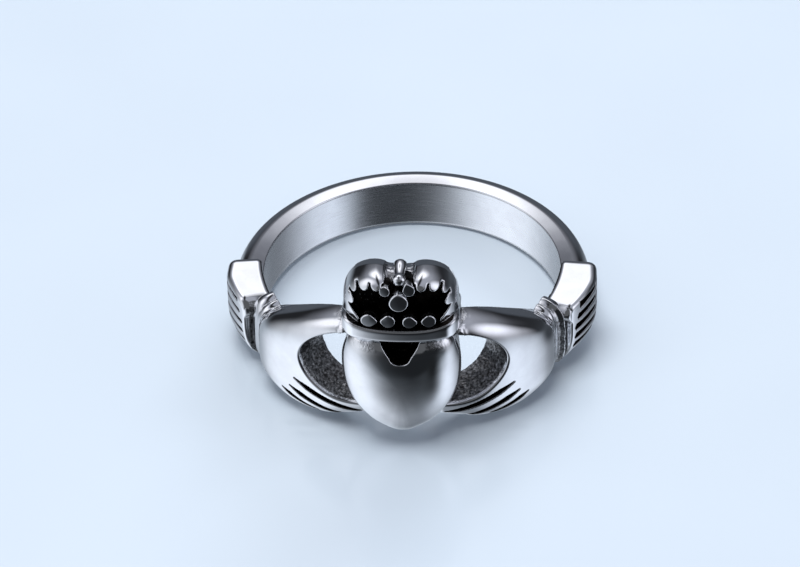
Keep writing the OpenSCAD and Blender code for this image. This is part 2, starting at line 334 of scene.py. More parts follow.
class Outline:
    """Distance to a closed outline, negative inside, read from a fine table."""

    pitch = 0.04
    margin = 1.5

    def __init__(self, points: Array) -> None:
        """Fill the table.

        Args:
            points: Corners of the outline, across the face and along the finger.
        """
        low = points.min(0) - self.margin
        size = np.ceil((points.max(0) + self.margin - low) / self.pitch).astype(int) + 1
        axes = (low[k] + self.pitch * np.arange(size[k]) for k in (0, 1))
        q = np.stack([g.ravel() for g in np.meshgrid(*axes, indexing="ij")], 1)
        nearest = np.full(len(q), np.inf)
        inside = np.zeros(len(q), bool)
        for a, b in zip(points, np.roll(points, -1, 0)):
            e = b - a
            t = np.clip(((q - a) @ e) / max(e @ e, TINY), 0, 1)
            nearest = np.minimum(nearest, ((q - a - t[:, None] * e) ** 2).sum(1))
            if a[1] != b[1]:
                crosses = (a[1] > q[:, 1]) != (b[1] > q[:, 1])
                at = a[0] + (q[:, 1] - a[1]) / (b[1] - a[1]) * e[0]
                inside ^= crosses & (q[:, 0] < at)
        self.low, self.last = low, size - 1.001
        self.table = (np.where(inside, -1, 1) * np.sqrt(nearest)).reshape(size)

    def __call__(self, p: Array) -> Array:
        """Distance at points.

        Args:
            p: Points.

        Returns:
            The distance to the outline, over the face.
        """
        q = np.clip((p[:, ::2] - self.low) / self.pitch, 0, self.last)
        i, j = q.astype(int).T
        u, v = (q % 1).T
        t = self.table
        near, far = (t[i, j + k] * (1 - u) + t[i + 1, j + k] * u for k in (0, 1))
        return near * (1 - v) + far * v


# ---- mesher


@dataclass(frozen=True)
class Mesher:
    """Turns a field into a closed mesh of quads whose points lie on its surface."""

    # pitch of the grid, rounds of moving points onto the surface, layers worked out at a time
    step: float
    rounds: int = 3
    slab: int = 8
    # least squared slope that is trusted, and how far a point may move in a round, in steps
    flattest: float = 0.04
    stride: float = 0.5

    def sample(self, form: Field, low: Array, shape: Array) -> Array:
        """Work out a field on a grid, a few layers at a time.

        Args:
            form: The signed field.
            low: Lowest corner of the grid.
            shape: Points of the grid on each axis.

        Returns:
            The values on the grid.
        """
        ys, zs = (low[k] + self.step * np.arange(shape[k]) for k in (1, 2))
        out = np.empty(tuple(shape), np.float32)
        for i in range(0, shape[0], self.slab):
            xs = low[0] + self.step * np.arange(i, min(i + self.slab, shape[0]))
            p = np.stack(np.meshgrid(xs, ys, zs, indexing="ij"), -1).reshape(-1, 3)
            out[i : i + len(xs)] = form(p).reshape(len(xs), shape[1], shape[2])
        return out

    def slope(self, form: Field, p: Array) -> Array:
        """Gradient of a field.

        Args:
            form: The signed field.
            p: Points.

        Returns:
            The gradient at the points.
        """
        out = np.empty_like(p)
        for k, d in enumerate(np.eye(3) * self.step / 4):
            out[:, k] = (form(p + d) - form(p - d)) / (self.step / 2)
        return out

    def net(self, values: Array, low: Array) -> tuple[Array, Array]:
        """Find the surface where the values on a grid change sign.

        Args:
            values: Field on the grid.
            low: Lowest corner of the grid.

        Returns:
            Points near the surface, and the quads between them.
        """
        cells = tuple(n - 1 for n in values.shape)
        total = np.zeros((*cells, 3), np.float32)
        count = np.zeros(cells, np.float32)
        cuts = []
        for axis in range(3):
            one, two = (axis + 1) % 3, (axis + 2) % 3
            near, far = [slice(None)] * 3, [slice(None)] * 3
            near[axis], far[axis] = slice(None, -1), slice(1, None)
            a, b = values[tuple(near)], values[tuple(far)]
            cross = (a < 0) != (b < 0)
            share = np.where(cross, a / np.where(cross, a - b, 1), 0)
            cuts.append((cross, a < 0))
            for d, e in ((0, 0), (0, 1), (1, 0), (1, 1)):
                s = [slice(None)] * 3
                s[one], s[two] = slice(d, cells[one] + d), slice(e, cells[two] + e)
                hit = cross[tuple(s)]
                count += hit
                total[..., axis] += share[tuple(s)]
                total[..., one] += d * hit
                total[..., two] += e * hit
        active = count > 0
        ids = np.full(cells, -1, np.int64)
        ids[active] = np.arange(active.sum())
        inner = np.argwhere(active) + total[active] / count[active][:, None]
        quads = []
        for axis, (cross, inside) in enumerate(cuts):
            one, two = (axis + 1) % 3, (axis + 2) % 3
            at = np.argwhere(cross)
            at = at[(at[:, one] > 0) & (at[:, two] > 0)]
            at = at[(at[:, one] < cells[one]) & (at[:, two] < cells[two])]
            d, e = np.eye(3, dtype=int)[[one, two]]
            q = np.stack([ids[tuple((at - m).T)] for m in (d + e, e, 0 * d, d)], 1)
            turn = ~inside[tuple(at.T)]
            q[turn] = q[turn][:, ::-1]
            quads.append(q)
        return low + inner * self.step, np.vstack(quads)

    def build(
        self, form: Field, low: Sequence[float], high: Sequence[float]
    ) -> tuple[Array, Array, Array]:
        """Mesh a field's surface inside a box.

        Args:
            form: The signed field.
            low: Lowest corner of the box.
            high: Highest corner of the box.

        Returns:
            Points in millimetres, quads and unit normals.
        """
        low = np.array(low, float)
        shape = np.ceil((np.array(high) - low) / self.step).astype(int) + 1
        points, quads = self.net(self.sample(form, low, shape), low)
        for _ in range(self.rounds):
            g = self.slope(form, points)
            move = (form(points) / np.maximum((g * g).sum(1), self.flattest))[:, None] * g
            size = np.linalg.norm(move, axis=1, keepdims=True)
            most = self.stride * self.step
            points = points - move * np.minimum(1, most / np.maximum(size, TINY))
        g = self.slope(form, points)
        return points, quads, g / np.maximum(np.linalg.norm(g, axis=1, keepdims=True), TINY)


# ---- objects


def new_object(name: str, data: Mesh | bpy.types.Curve) -> Object:
    """Put a mesh or curve in the scene, at the origin.

    Args:
        name: Name of the object.
        data: Its mesh or curve.

    Returns:
        The object.
    """
    piece = bpy.data.objects.new(name, data)
    bpy.context.scene.collection.objects.link(piece)
    return piece


def set_marks(mesh: Mesh, marks: dict[Mark, Array]) -> None:
    """Store how each point of a mesh was finished."""
    for mark in Mark:
        values = np.clip(marks.get(mark, np.zeros(len(mesh.vertices))), 0, 1)
        layer = mesh.attributes.new(mark.value, "FLOAT", "POINT")
        layer.data.foreach_set("value", values.astype(np.float32))


def mesh_points(mesh: Mesh) -> Array:
    """Read the points of a mesh.

    Args:
        mesh: The mesh.

    Returns:
        Its points in millimetres.
    """
    out = np.empty(len(mesh.vertices) * 3, np.float32)
    mesh.vertices.foreach_get("co", out)
    return out.reshape(-1, 3).astype(float) / MM


def seal(mesh: Mesh) -> None:
    """Merge the doubles of a mesh, close its open ends and turn its faces outwards.

    Args:
        mesh: The mesh, which is changed.
    """
    form = bmesh.new()
    form.from_mesh(mesh)
    bmesh.ops.remove_doubles(form, verts=form.verts, dist=1e-7)
    bmesh.ops.holes_fill(form, edges=[e for e in form.edges if e.is_boundary])
    bmesh.ops.recalc_face_normals(form, faces=form.faces)
    form.to_mesh(mesh)
    form.free()
    mesh.shade_smooth()


def finish_piece(piece: Object, material: Material) -> None:
    """Give a piece its steel, and say that it stands for the cast ring's node.

    Args:
        piece: The finished piece.
        material: Its steel.
    """
    piece.data.materials.clear()
    piece.data.materials.append(material)
    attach(piece, BODY)
    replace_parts(piece, NODE)
    faces = sum(len(f.vertices) - 2 for f in piece.data.polygons)
    log.info("%s: %d triangles", piece.name, faces)


def solid(
    name: str, points: Array, faces: Array, normals: Array | None, marks: dict[Mark, Array]
) -> Object:
    """Make an object from points, with its marks.

    Args:
        name: Name of the piece.
        points: Points in millimetres.
        faces: Corner numbers of each face.
        normals: Unit normal of each point, or None to leave them to the mesh.
        marks: How each point was finished.

    Returns:
        The object, shaded smooth.
    """
    mesh = bpy.data.meshes.new(name)
    mesh.from_pydata((points * MM).tolist(), [], faces.tolist())
    mesh.shade_smooth()
    set_marks(mesh, marks)
    if normals is not None:
        mesh.normals_split_custom_set_from_vertices(normals.tolist())
    return new_object(name, mesh)


# ---- the ring


@dataclass(frozen=True)
class FingerHole:
    """True bore through the ring, with the back of the face standing clear of it."""

    radius: float = 9.5
    band_half: float = 1.8
    relief: float = 0.04
    relief_start: float = 0.25
    edge: float = 0.08
    # how near the wall the brushed finish is full, and how far it reaches at most
    brush: Pair = (0.02, 0.06)

    def off(self, p: Array) -> Array:
        """Distance of points from the inner wall."""
        relief = self.relief * ease(0, self.relief_start, np.abs(p[:, 2]) - self.band_half)
        return from_axis(p) - (self.radius + relief)

    def bore(self, form: Array, p: Array) -> Array:
        """Field with the finger hole taken out of it."""
        return cut(form, self.off(p), self.edge)

    def satin(self, p: Array) -> Array:
        """Share of the brushed finish that the inner wall has."""
        return ease(self.brush[1], self.brush[0], self.off(p))


@dataclass
class Casting:
    """What the castings share: the finger hole, a side, and the way from field to piece."""

    hole: FingerHole = FingerHole()
    side: Side | None = None
    # name without the side, pitch of the grid, and the box that holds the piece on the left
    name: str = ""
    step: float = 0.06
    low: Triple = (0.0, 0.0, 0.0)
    high: Triple = (0.0, 0.0, 0.0)
    # radius of the hands' faces, on which the way round the ring is measured
    face_radius: float = 11.8
    # how deep the inner wall stays free of black and grain
    clean: float = 0.05

    @property
    def right(self) -> bool:
        """True for a piece on the right."""
        return self.side is Side.RIGHT

    def ways(self, p: Array) -> tuple[Array, Array]:
        """Way round the ring from the middle of the face, and radius, of points."""
        angle, radius = around(p)
        return angle * self.side.value * self.face_radius, radius

    def form(self, p: Array) -> Array:
        """Field of the finished part, which each sub-assembly gives."""
        raise NotImplementedError

    def marks(self, p: Array) -> tuple[Array, Array]:
        """Shares of the black and of the grain, which each sub-assembly gives."""
        raise NotImplementedError

    def build(self, material: Material) -> None:
        """Mesh the field inside its box, store how its points were finished and dress it.

        Args:
            material: Steel of the piece.
        """
        name, low, high = self.name, self.low, self.high
        if self.side:
            name = f"{name}_{self.side.name.lower()}"
        if self.right:
            low, high = (-high[0], *low[1:]), (-low[0], *high[1:])
        points, quads, normals = Mesher(self.step).build(self.form, low, high)
        outside = self.hole.off(points) >= self.clean
        black, grain = (share * outside for share in self.marks(points))
        marks = {Mark.TARNISH: black, Mark.ROUGH: grain, Mark.SATIN: self.hole.satin(points)}
        finish_piece(solid(name, points, quads, normals, marks), material)


@dataclass
class Hand(Casting):
    """Hand from its root at the wrist to the heart, with the wrist's folds and the gap."""

    name: str = "hand"
    step: float = 0.065
    low: Triple = (-11.2, -12.3, -3.0)
    high: Triple = (-1.7, -4.1, 5.9)
    # fields of the heart and the crown, beside which the hand is black
    heart: Field | None = None
    crown: Field | None = None
    length: float = 11.9
    thickness: float = 2.3
    thumb_rise: float = 5.4
    finger_drop: float = 2.65
    root: float = 8.81
    squares: Pair = (4.5, 3.6)
    end_round: float = 0.3
    gap_middle: float = 3.0
    gap_half: float = 3.95
    gap_height: float = 5.2
    gap_rise: float = 1.97
    gap_draft: float = 0.7
    gap_square: float = 1.9
    lip: float = 0.16
    groove_radius: float = 0.2
    groove_bow: float = 0.35
    groove_edge: float = 0.06
    wrist_root: float = 9.0
    wrist_radius: float = 11.0
    wrist_rise: float = 2.45
    wrist_drop: float = 1.95
    wrist_squares: Pair = (4, 3.4)
    # how far the wrist runs into the hand and under the cuff
    wrist_laps: Pair = (0.5, 0.3)
    fillet: float = 0.25
    cuff_start: float = 13.3
    # depth of the mould's grain and size of its lumps
    grain: Pair = (0.03, 0.34)
    # how black the gap's walls, the neck and the corner by the crown are
    blacks: Triple = (0.54, 0.5, 0.42)
    # where the hand ends, by side: the caster left the left neck narrower
    heels: Pair = (12.75, 12.1)
    # share of the length, top and foot as shares of the rise and drop, thickness as a share
    rows: Rows = (
        (0.20, 1.00, 0.66, 0.95), (0.28, 1.00, 0.75, 0.97), (0.42, 0.97, 0.93, 1.00),
        (0.56, 0.89, 1.00, 1.00), (0.70, 0.77, 0.96, 1.00), (0.84, 0.63, 0.78, 0.98),
        (0.94, 0.52, 0.66, 0.85), (1.00, 0.44, 0.60, 0.66),
    )
    # first share of the length and height, then the last ones, height in finger drops
    grooves: Rows = (
        (0.62, 0.02, 0.24, -0.51), (0.655, -0.27, 0.34, -0.735), (0.715, -0.45, 0.50, -0.80),
    )
    # folds on top of the wrist: way round the ring, half width, lift; and how full they are
    folds: Rows = ((12.85, 0.7, 0.42), (12.1, 0.42, 0.26))
    fullness: float = 0.85
    # thin ridge in front of the right wrist, between two black bands: way, half width, lift
    ridge: Triple = (12.75, 0.14, 0.3)

    def __post_init__(self) -> None:
        """Work out the smooth table of the hand's sections, and where the hand ends."""
        self.table = catmull(self.rows)
        self.heel = self.heels[self.right]

    def body(self, p: Array) -> Array:
        """Field of the hand before its gap and grooves are cut.

        Args:
            p: Points.

        Returns:
            The field at the points.
        """
        way, radius = self.ways(p)
        shares, *columns = self.table.T
        top, foot, thick = (np.interp(way / self.length, shares, c) for c in columns)
        outer = self.hole.radius + thick * self.thickness
        top, foot = top * self.thumb_rise, -foot * self.finger_drop
        skin = section(radius, p[:, 2], self.root, outer, top, foot, self.squares)
        ends = np.maximum(self.rows[0][0] * self.length - way, way - self.heel)
        return meet(skin, ends, self.end_round)

    def gap(self, p: Array) -> Array:
        """Field of the opening between thumb and fingers.

        Args:
            p: Points.

        Returns:
            The field at the points.
        """
        way, radius = self.ways(p)
        rise = self.gap_draft * (self.face_radius - radius) / self.thickness
        wide, tall = self.gap_half - rise / 2, (self.gap_height - rise) / 2
        up = np.abs((p[:, 2] - self.gap_rise - rise / 2) / tall)
        return rounded(np.abs((way - self.gap_middle) / wide), up, self.gap_square, wide, tall)

    def groove(self, row: Sequence[float], p: Array, skin: Array) -> Array:
        """Field of one groove between two fingers, which thins out at both ends.

        Args:
            row: The groove's row of the table.
            p: Points.
            skin: Distance of the points to the hand's skin.

        Returns:
            The field at the points.
        """
        start, end = ((row[k] * self.length, row[k + 1] * self.finger_drop) for k in (0, 2))
        return slot(
            (self.ways(p)[0], p[:, 2]),
            start,
            end,
            skin,
            lambda t: self.groove_radius * np.minimum(1, 0.25 + 3.2 * t) * (1.05 - 0.25 * t),
            self.groove_bow,
        )

    def wrist(self, p: Array) -> Array:
        """Field of the wrist, with its folds on top and its thin ridge in front.

        Args:
            p: Points.

        Returns:
            The field at the points.
        """
        way, radius = self.ways(p)
        top = np.full(len(p), self.wrist_rise)
        for middle, half, lift in self.folds:
            arc = np.maximum(1 - ((way - middle) / half) ** 2, 0)
            top = np.maximum(top, self.wrist_rise + lift * arc**self.fullness)
        middle, half, lift = self.ridge
        ridge = lift * self.right * np.exp(-(((way - middle) / half) ** 2))
        front, foot = self.wrist_radius + ridge, -self.wrist_drop
        core = section(radius, p[:, 2], self.wrist_root, front, top, foot, self.wrist_squares)
        first, last = self.length - self.wrist_laps[0], self.cuff_start + self.wrist_laps[1]
        return meet(core, np.maximum(first - way, way - last), 0.1)

    def rough(self, p: Array) -> Array:
        """Share of the mould's grain: the gap's walls, the corner by the crown, the wrist.

        Args:
            p: Points.

        Returns:
            The share at the points.
        """
        way, radius = self.ways(p)
        wall = ease(0.2, 0.04, np.abs(self.gap(p))) * ease(0.15, 0.5, -self.body(p))
        corner = ease(4.5, 3.9, way) * ease(3.1, 3.7, p[:, 2])
        neck = ease(0.1, 0.3, way - self.heel) * ease(2.0, 1.5, p[:, 2]) * ease(10.4, 10.7, radius)
        return np.maximum.reduce([wall, 1.4 * corner, neck])

    def form(self, p: Array) -> Array:
        """Field of the finished hand and wrist.

        Args:
            p: Points.

        Returns:
            The field at the points.
        """
        skin = self.body(p)
        out = cut(skin, self.gap(p), self.lip)
        for row in self.grooves:
            out = cut(out, self.groove(row, p, skin), self.groove_edge)
        out = roughen(join(out, self.wrist(p), self.fillet), p, self.rough(p), *self.grain)
        return self.hole.bore(out, p)

    def marks(self, p: Array) -> tuple[Array, Array]:
        """Finish of points on the hand: black walls and grooves, rough corners.

        Args:
            p: Points.

        Returns:
            Shares of the black and of the grain.
        """
        way, radius = self.ways(p)
        deep = -self.body(p)
        wall = ease(0.16, 0.04, np.abs(self.gap(p))) * ease(0.14, 0.28, deep)
        lines = [ease(0.12, 0.03, self.groove(row, p, -deep)) for row in self.grooves]
        lines = ease(0.03, 0.08, deep) * np.maximum.reduce(lines)
        neck = ease(0.0, 0.15, way - self.heel) * ease(11.22, 11.1, radius)
        neck = neck * ease(1.95, 1.6, p[:, 2])
        crease = ease(0.16, 0.03, self.heart(p))
        corner = ease(0.5, 0.1, self.crown(p)) * ease(0.25, 0.6, way)
        rough = (wall, neck, corner)
        blacks = [share * spot for share, spot in zip(self.blacks, rough)]
        return np.maximum.reduce([*blacks, lines, crease]), np.maximum.reduce(rough)


@dataclass
class Cuff(Casting):
    """Pleated sleeve end behind a wrist."""

    name: str = "cuff"
    step: float = 0.055
    low: Triple = (-12.4, -6.6, -2.5)
    high: Triple = (-8.2, 1.4, 3.3)
    start: float = 13.3
    # length, thickness, overhang of the flat top over the wrist, half width of the pleats'
    # grooves, by side: the right cuff is the larger one, with wider grooves
    sizes: Rows = ((4.45, 2.6, 0.45, 0.14), (4.85, 2.78, 0.75, 0.24))
    crest: float = 3.9
    front_rise: float = 2.42
    rear_rise: float = 3.0
    drop: float = 2.2
    thin: float = 2.0
    taper: float = 0.4
    root: float = 9.1
    squares: Pair = (2.8, 6.0)
    top_round: float = 0.45
    end_round: float = 0.7
    pitch: float = 0.7
    fan: float = 0.12
    rim: float = 0.34
    groove_edge: float = 0.05
    black: float = 0.55

    def __post_init__(self) -> None:
        """Pick the sizes of this side."""
        self.length, self.thick, self.overhang, self.pleat_half = self.sizes[self.right]

    def body(self, p: Array) -> tuple[Array, Array]:
        """Field of the cuff before its pleats are cut.

        Args:
            p: Points.

        Returns:
            The field at the points, and their way from the cuff's front.
        """
        way, radius = self.ways(p)
        way = way - self.start
        share = np.clip(way / self.length, 0, 1)
        outer = self.hole.radius + self.thin + (self.thick - self.thin) * share**0.7
        outer -= self.taper * ease(0.55, 1.0, share)
        skin = section(radius, p[:, 2], self.root, outer, self.crest, -self.drop, self.squares)
        # the flat top climbs towards the open end and rolls down over its front outer corner
        ahead = way + self.overhang * ease(1.1, 2.0, p[:, 2])
        roll = (0.1 + 0.7 * ease(9.8, 11.4, radius)) * ease(1.1, -0.1, ahead) ** 1.5
        top = self.front_rise + (self.rear_rise - self.front_rise) * share - roll
        skin = meet(skin, p[:, 2] - top, self.top_round)
        soft = 0.14 + 0.3 * ease(1.2, 2.2, p[:, 2])
        return meet(meet(skin, -ahead, soft), way - self.length, self.end_round), way

    def pleat(self, p: Array, skin: Array, way: Array) -> Array:
        """Field of the grooves between the pleats: blunt behind the rim, thin at the back.

        Args:
            p: Points.
            skin: Distance of the points to the cuff's skin.
            way: Their way from the cuff's front.

        Returns:
            The field at the points.
        """
        share = np.clip((way - self.rim) / (self.length - self.rim), 0, 1)
        pitch = self.pitch * (1 + self.fan * share)
        row = np.clip(np.round(p[:, 2] / pitch), -2, 3)
        # the upper grooves start further back, behind the rolled corner of the top
        late = self.rim - 0.1 + 0.25 * np.maximum(row - 1, 0)
        width = self.pleat_half * (1 - 0.5 * share) * np.clip((way - late) / 0.14, -1, 1)
        return np.hypot(p[:, 2] - row * pitch, 0.5 * skin) - width

    def form(self, p: Array) -> Array:
        """Field of the finished cuff.

        Args:
            p: Points.

        Returns:
            The field at the points.
        """
        skin, way = self.body(p)
        out = cut(skin, self.pleat(p, skin, way), self.groove_edge)
        # the top's inner edge is rounded over into the finger hole
        over_edge = 0.02 + 0.4 * ease(1.5, 2.4, p[:, 2])
        return self.hole.bore(meet(out, self.hole.radius - from_axis(p), over_edge), p)

    def marks(self, p: Array) -> tuple[Array, Array]:
        """Finish of points on the cuff: black grooves and a black foot of its front face.

        Args:
            p: Points.

        Returns:
            Shares of the black and of the grain.
        """
        skin, way = self.body(p)
        lines = ease(0.04, 0.1, -skin) * ease(0.1, 0.2, way)
        front = ease(0.09, 0.03, way) * ease(2.3, 1.9, p[:, 2])
        front = front * ease(11.3, 11.1, from_axis(p))
        return np.maximum(lines, self.black * front), front


@dataclass
class Heart(Casting):
    """Polished heart that the hands hold, with the cleft of its lobes under the crown."""

    name: str = "heart"
    step: float = 0.06
    low: Triple = (-3.9, -13.4, -2.15)
    high: Triple = (3.9, -8.2, 5.5)
    width: float = 7.4
    foot: float = -1.95
    top: float = 5.3
    middle: float = 0.55
    root: float = 8.66
    edge: float = 11.7
    dome: float = 1.5
    square: float = 2.3
    draft: float = 0.1
    floor: float = 11.45
    cleft_edge: float = 0.06
    # depth of the pits on the shoulders, and their size
    grain: Pair = (0.016, 0.42)
    # right half of the outline: share of half the width, share of the height
    half: Rows = (
        (0, 0), (0.1, 0.004), (0.24, 0.03), (0.54, 0.12), (0.80, 0.27), (0.95, 0.44),
        (1, 0.62), (0.98, 0.80), (0.86, 0.94), (0.60, 1), (0, 1),
    )
    # right half of the cleft, in millimetres across and along the finger
    cleft_half: Rows = (
        (0, 3.8), (0.3, 3.84), (0.52, 3.98), (0.68, 4.25), (0.86, 4.5), (1.06, 4.8),
        (1.22, 5.12), (1.4, 5.35), (1.45, 5.6),
    )

    def __post_init__(self) -> None:
        """Work out the outlines of the heart and of its cleft."""
        self.gauge = Gauge(self.half, self.width, self.foot, self.top - self.foot, self.middle)
        rows = catmull(self.cleft_half, 8)
        self.cleft = Outline(np.vstack([rows * (-1, 1), rows[:0:-1]]))

    def body(self, p: Array) -> Array:
        """Field of the heart before its cleft is cut.

        Args:
            p: Points.

        Returns:
            The field at the points.
        """
        radius = from_axis(p)
        scale, reach = self.gauge(p)
        narrow = 1 - self.draft * np.clip((self.edge - radius) / (self.edge - self.root), 0, 1.4)
        rise = np.maximum(radius - self.edge, 0) / self.dome
        return in_front(p, rounded(scale / narrow, rise, self.square, reach, self.dome))

    def hollow(self, p: Array) -> Array:
        """Field of the cleft down to its floor."""
        return meet(self.cleft(p), self.floor - from_axis(p), 0.1)

    def shoulder(self, p: Array) -> Array:
        """Share of the mould's grain on the shoulders, beside the cleft."""
        across = np.abs(p[:, 0])
        return ease(4.45, 4.75, p[:, 2]) * ease(1.3, 1.7, across) * ease(3.3, 2.7, across)

    def form(self, p: Array) -> Array:
        """Field of the finished heart.

        Args:
            p: Points.

        Returns:
            The field at the points.
        """
        out = cut(self.body(p), self.hollow(p), self.cleft_edge)
        out = roughen(out, p, self.shoulder(p) * (from_axis(p) > 11), *self.grain)
        return self.hole.bore(out, p)

    def marks(self, p: Array) -> tuple[Array, Array]:
        """Finish of points on the heart: a black cleft and pits under the crown.

        Args:
            p: Points.

        Returns:
            Shares of the black and of the grain.
        """
        cleft = ease(0.08, 0.2, -self.body(p)) * ease(0.3, 0.05, self.hollow(p))
        pits = self.shoulder(p)
        side = ease(11.6, 11.3, from_axis(p)) * 0.45
        # the wheel could not reach under the crown's right end as well as under its left one
        dull = np.where(p[:, 0] > 0, 0.3 + 0.2 * ease(2.6, 1.7, p[:, 0]), 0.2)
        return np.maximum.reduce([cleft, dull * pits, side]), np.maximum(cleft, 0.6 * pits)


@dataclass
class Crown(Casting):
    """Crown with two pillowed lobes, a black arched recess and a band round its foot."""

    name: str = "crown"
    step: float = 0.052
    low: Triple = (-3.75, -13.1, 4.9)
    high: Triple = (3.75, -8.6, 9.85)
    width: float = 7.16
    height: float = 4.4
    foot: float = 5.1
    thickness: float = 3.0
    # share of the thickness at which the crown's own depth starts
    start: float = 0.2
    middle: float = 0.45
    square: float = 3.6
    floor: float = 11.35
    arch_half: float = 3.2
    arch_foot: float = 5.55
    arch_top: float = 9.14
    arch_square: float = 6.0
    band_foot: float = 5.3
    band_height: float = 0.98
    band_flare: float = 0.5
    band_radius: float = 12.8
    band_root: float = 10.75
    band_square: float = 6.0
    band_turn: float = 0.8
    band_bend: float = 0.26
    valley_half: float = 0.86
    # rounding of the valley's edge, of the recess's, and the fillet beside the band
    rounds: Triple = (0.16, 0.12, 0.04)
    # depth of the grain in the valley, and its size
    grain: Pair = (0.035, 0.3)
    # petals round the arch, on the right: across and height of the tip and root, half width
    petals: Rows = (
        (2.78, 6.56, 3.5, 6.95, 0.3), (3.12, 7.8, 3.75, 7.78, 0.33), (2.9, 8.6, 3.3, 8.95, 0.29),
        (2.2, 9.03, 2.3, 9.6, 0.36), (1.4, 9.16, 1.42, 9.7, 0.36),
    )
    # right half of the outline: share of half the width, share of the height
    half: Rows = (
        (0, 0), (0.5, 0), (1, 0), (1, 0.35), (0.985, 0.56), (0.92, 0.73), (0.79, 0.87),
        (0.61, 0.965), (0.43, 1), (0.30, 0.985), (0.22, 0.955), (0, 0.94),
    )
    # middle line of the stem, from its back end: way to the back, height, radius
    stem_rows: Rows = (
        (-9.73, 9.27, 0.02), (-9.76, 9.27, 0.22), (-9.88, 9.28, 0.36), (-10.2, 9.27, 0.37),
        (-10.6, 9.22, 0.33), (-10.95, 9.19, 0.31), (-11.15, 9.17, 0.33),
    )
    # ball at its front end: middle, direction, square of the radius, places of its sections
    ball: Pair = (-11.42, 9.15)
    ball_way: Pair = (-0.97, -0.24)
    ball_square: float = 0.1525
    ball_steps: tuple[float, ...] = (-0.1, 0.05, 0.18, 0.27, 0.33, 0.37, 0.387, 0.39)
    stem_sides: int = 40
    stem_breadth: float = 1.15

    def __post_init__(self) -> None:
        """Work out the outline of the crown."""
        self.gauge = Gauge(self.half, self.width, self.foot, self.height, self.middle)

    def body(self, p: Array) -> Array:
        """Field of the crown before it is hollowed.

        Args:
            p: Points.

        Returns:
            The field at the points.
        """
        radius = from_axis(p)
        scale, reach = self.gauge(p)
        start = self.hole.radius + self.start * self.thickness
        depth = (1 - self.start) * self.thickness
        narrow = 1 - 0.07 * ease(start + 0.3, start - 0.9, radius)
        rise = np.maximum(radius - start, 0) / depth
        return in_front(p, rounded(scale / narrow, rise, self.square, reach, depth))

    def recess(self, p: Array) -> Array:
        """Field of the arched recess down to its curved floor.

        Args:
            p: Points.

        Returns:
            The field at the points.
        """
        n = self.arch_square
        x = np.abs(p[:, 0] / self.arch_half) ** n
        z = np.maximum((p[:, 2] - self.arch_foot) / (self.arch_top - self.arch_foot), 0) ** n
        arch = np.maximum(((x + z) ** (1 / n) - 1) * self.arch_half, self.arch_foot - p[:, 2])
        return meet(cut(arch, self.petal(p), 0.05), self.floor - from_axis(p), 0.15)

    def petal(self, p: Array) -> Array:
        """Field of the rounded petals that stand into the recess all round its arch.

        Args:
            p: Points.

        Returns:
            The field at the points.
        """
        out, flat = np.full(len(p), 3 * FAR), np.zeros(len(p))
        for *ends, half in self.petals:
            spots = (np.abs(p[:, 0]), p[:, 2])
            way = slot(spots, ends[:2], ends[2:], flat, lambda t: half * (1 + 1.1 * t))
            out = np.minimum(out, way)
        return out

    def valley(self, p: Array) -> Array:
        """Field of the rough valley between the lobes, which falls away towards the recess."""
        bed = self.foot + self.height - 0.28 - 0.55 * ease(10.4, 11.7, from_axis(p))
        return meet(np.abs(p[:, 0]) - self.valley_half, bed - p[:, 2], 0.22)

    def band_size(self, p: Array) -> tuple[Array, Array]:
        """Share of half the crown's width, and the band's height there, at points."""
        share = np.clip(np.abs(p[:, 0]) / (self.width / 2), 0, 1)
        return share, self.band_height + self.band_flare * share**3.5

    def band(self, p: Array) -> Array:
        """Field of the flat faced band along the foot, taller towards its ends.

        Args:
            p: Points.

        Returns:
            The field at the points.
        """
        share, height = self.band_size(p)
        half, depth = height / 2, self.band_radius - self.band_root
        q = (p[:, 2] - self.band_foot - half) / half
        ahead = from_axis(p) + self.band_bend * share**4 - self.band_root
        skin = rounded(np.maximum(ahead, 0) / depth, np.abs(q), self.band_square, depth, half)
        ends = np.abs(p[:, 0]) - self.width / 2 - 0.06
        return in_front(p, meet(skin, ends, self.band_turn))

    def form(self, p: Array) -> Array:
        """Field of the finished crown.

        Args:
            p: Points.

        Returns:
            The field at the points.
        """
        valley = self.valley(p)
        out = cut(cut(self.body(p), valley, self.rounds[0]), self.recess(p), self.rounds[1])
        out = roughen(out, p, ease(0.1, 0.0, valley), *self.grain)
        return self.hole.bore(join(out, self.band(p), self.rounds[2]), p)

    def marks(self, p: Array) -> tuple[Array, Array]:
        """Finish of points on the crown: a black recess and lid of the band, a rough valley.

        Args:
            p: Points.

        Returns:
            Shares of the black and of the grain.
        """
        radius, deep = from_axis(p), -self.body(p)
        recess = ease(0.18, 0.05, self.recess(p)) * ease(0.06, 0.16, deep)
        recess = recess * ease(12.7, 12.62, radius)
        on_band = ease(0.05, 0.02, self.band(p))
        share, height = self.band_size(p)
        lid = ease(0.14, 0.06, self.band_foot + height - p[:, 2]) * ease(12.72, 12.64, radius)
        recess = np.maximum(recess, lid * on_band * ease(0.97, 0.93, share))
        valley = ease(0.14, 0.04, self.valley(p)) * ease(0.02, 0.12, deep) * (1 - on_band)
        shade = 0.45 + 0.55 * ease(10.9, 11.5, radius)
        return np.maximum(recess, valley * shade), np.maximum(recess, valley)

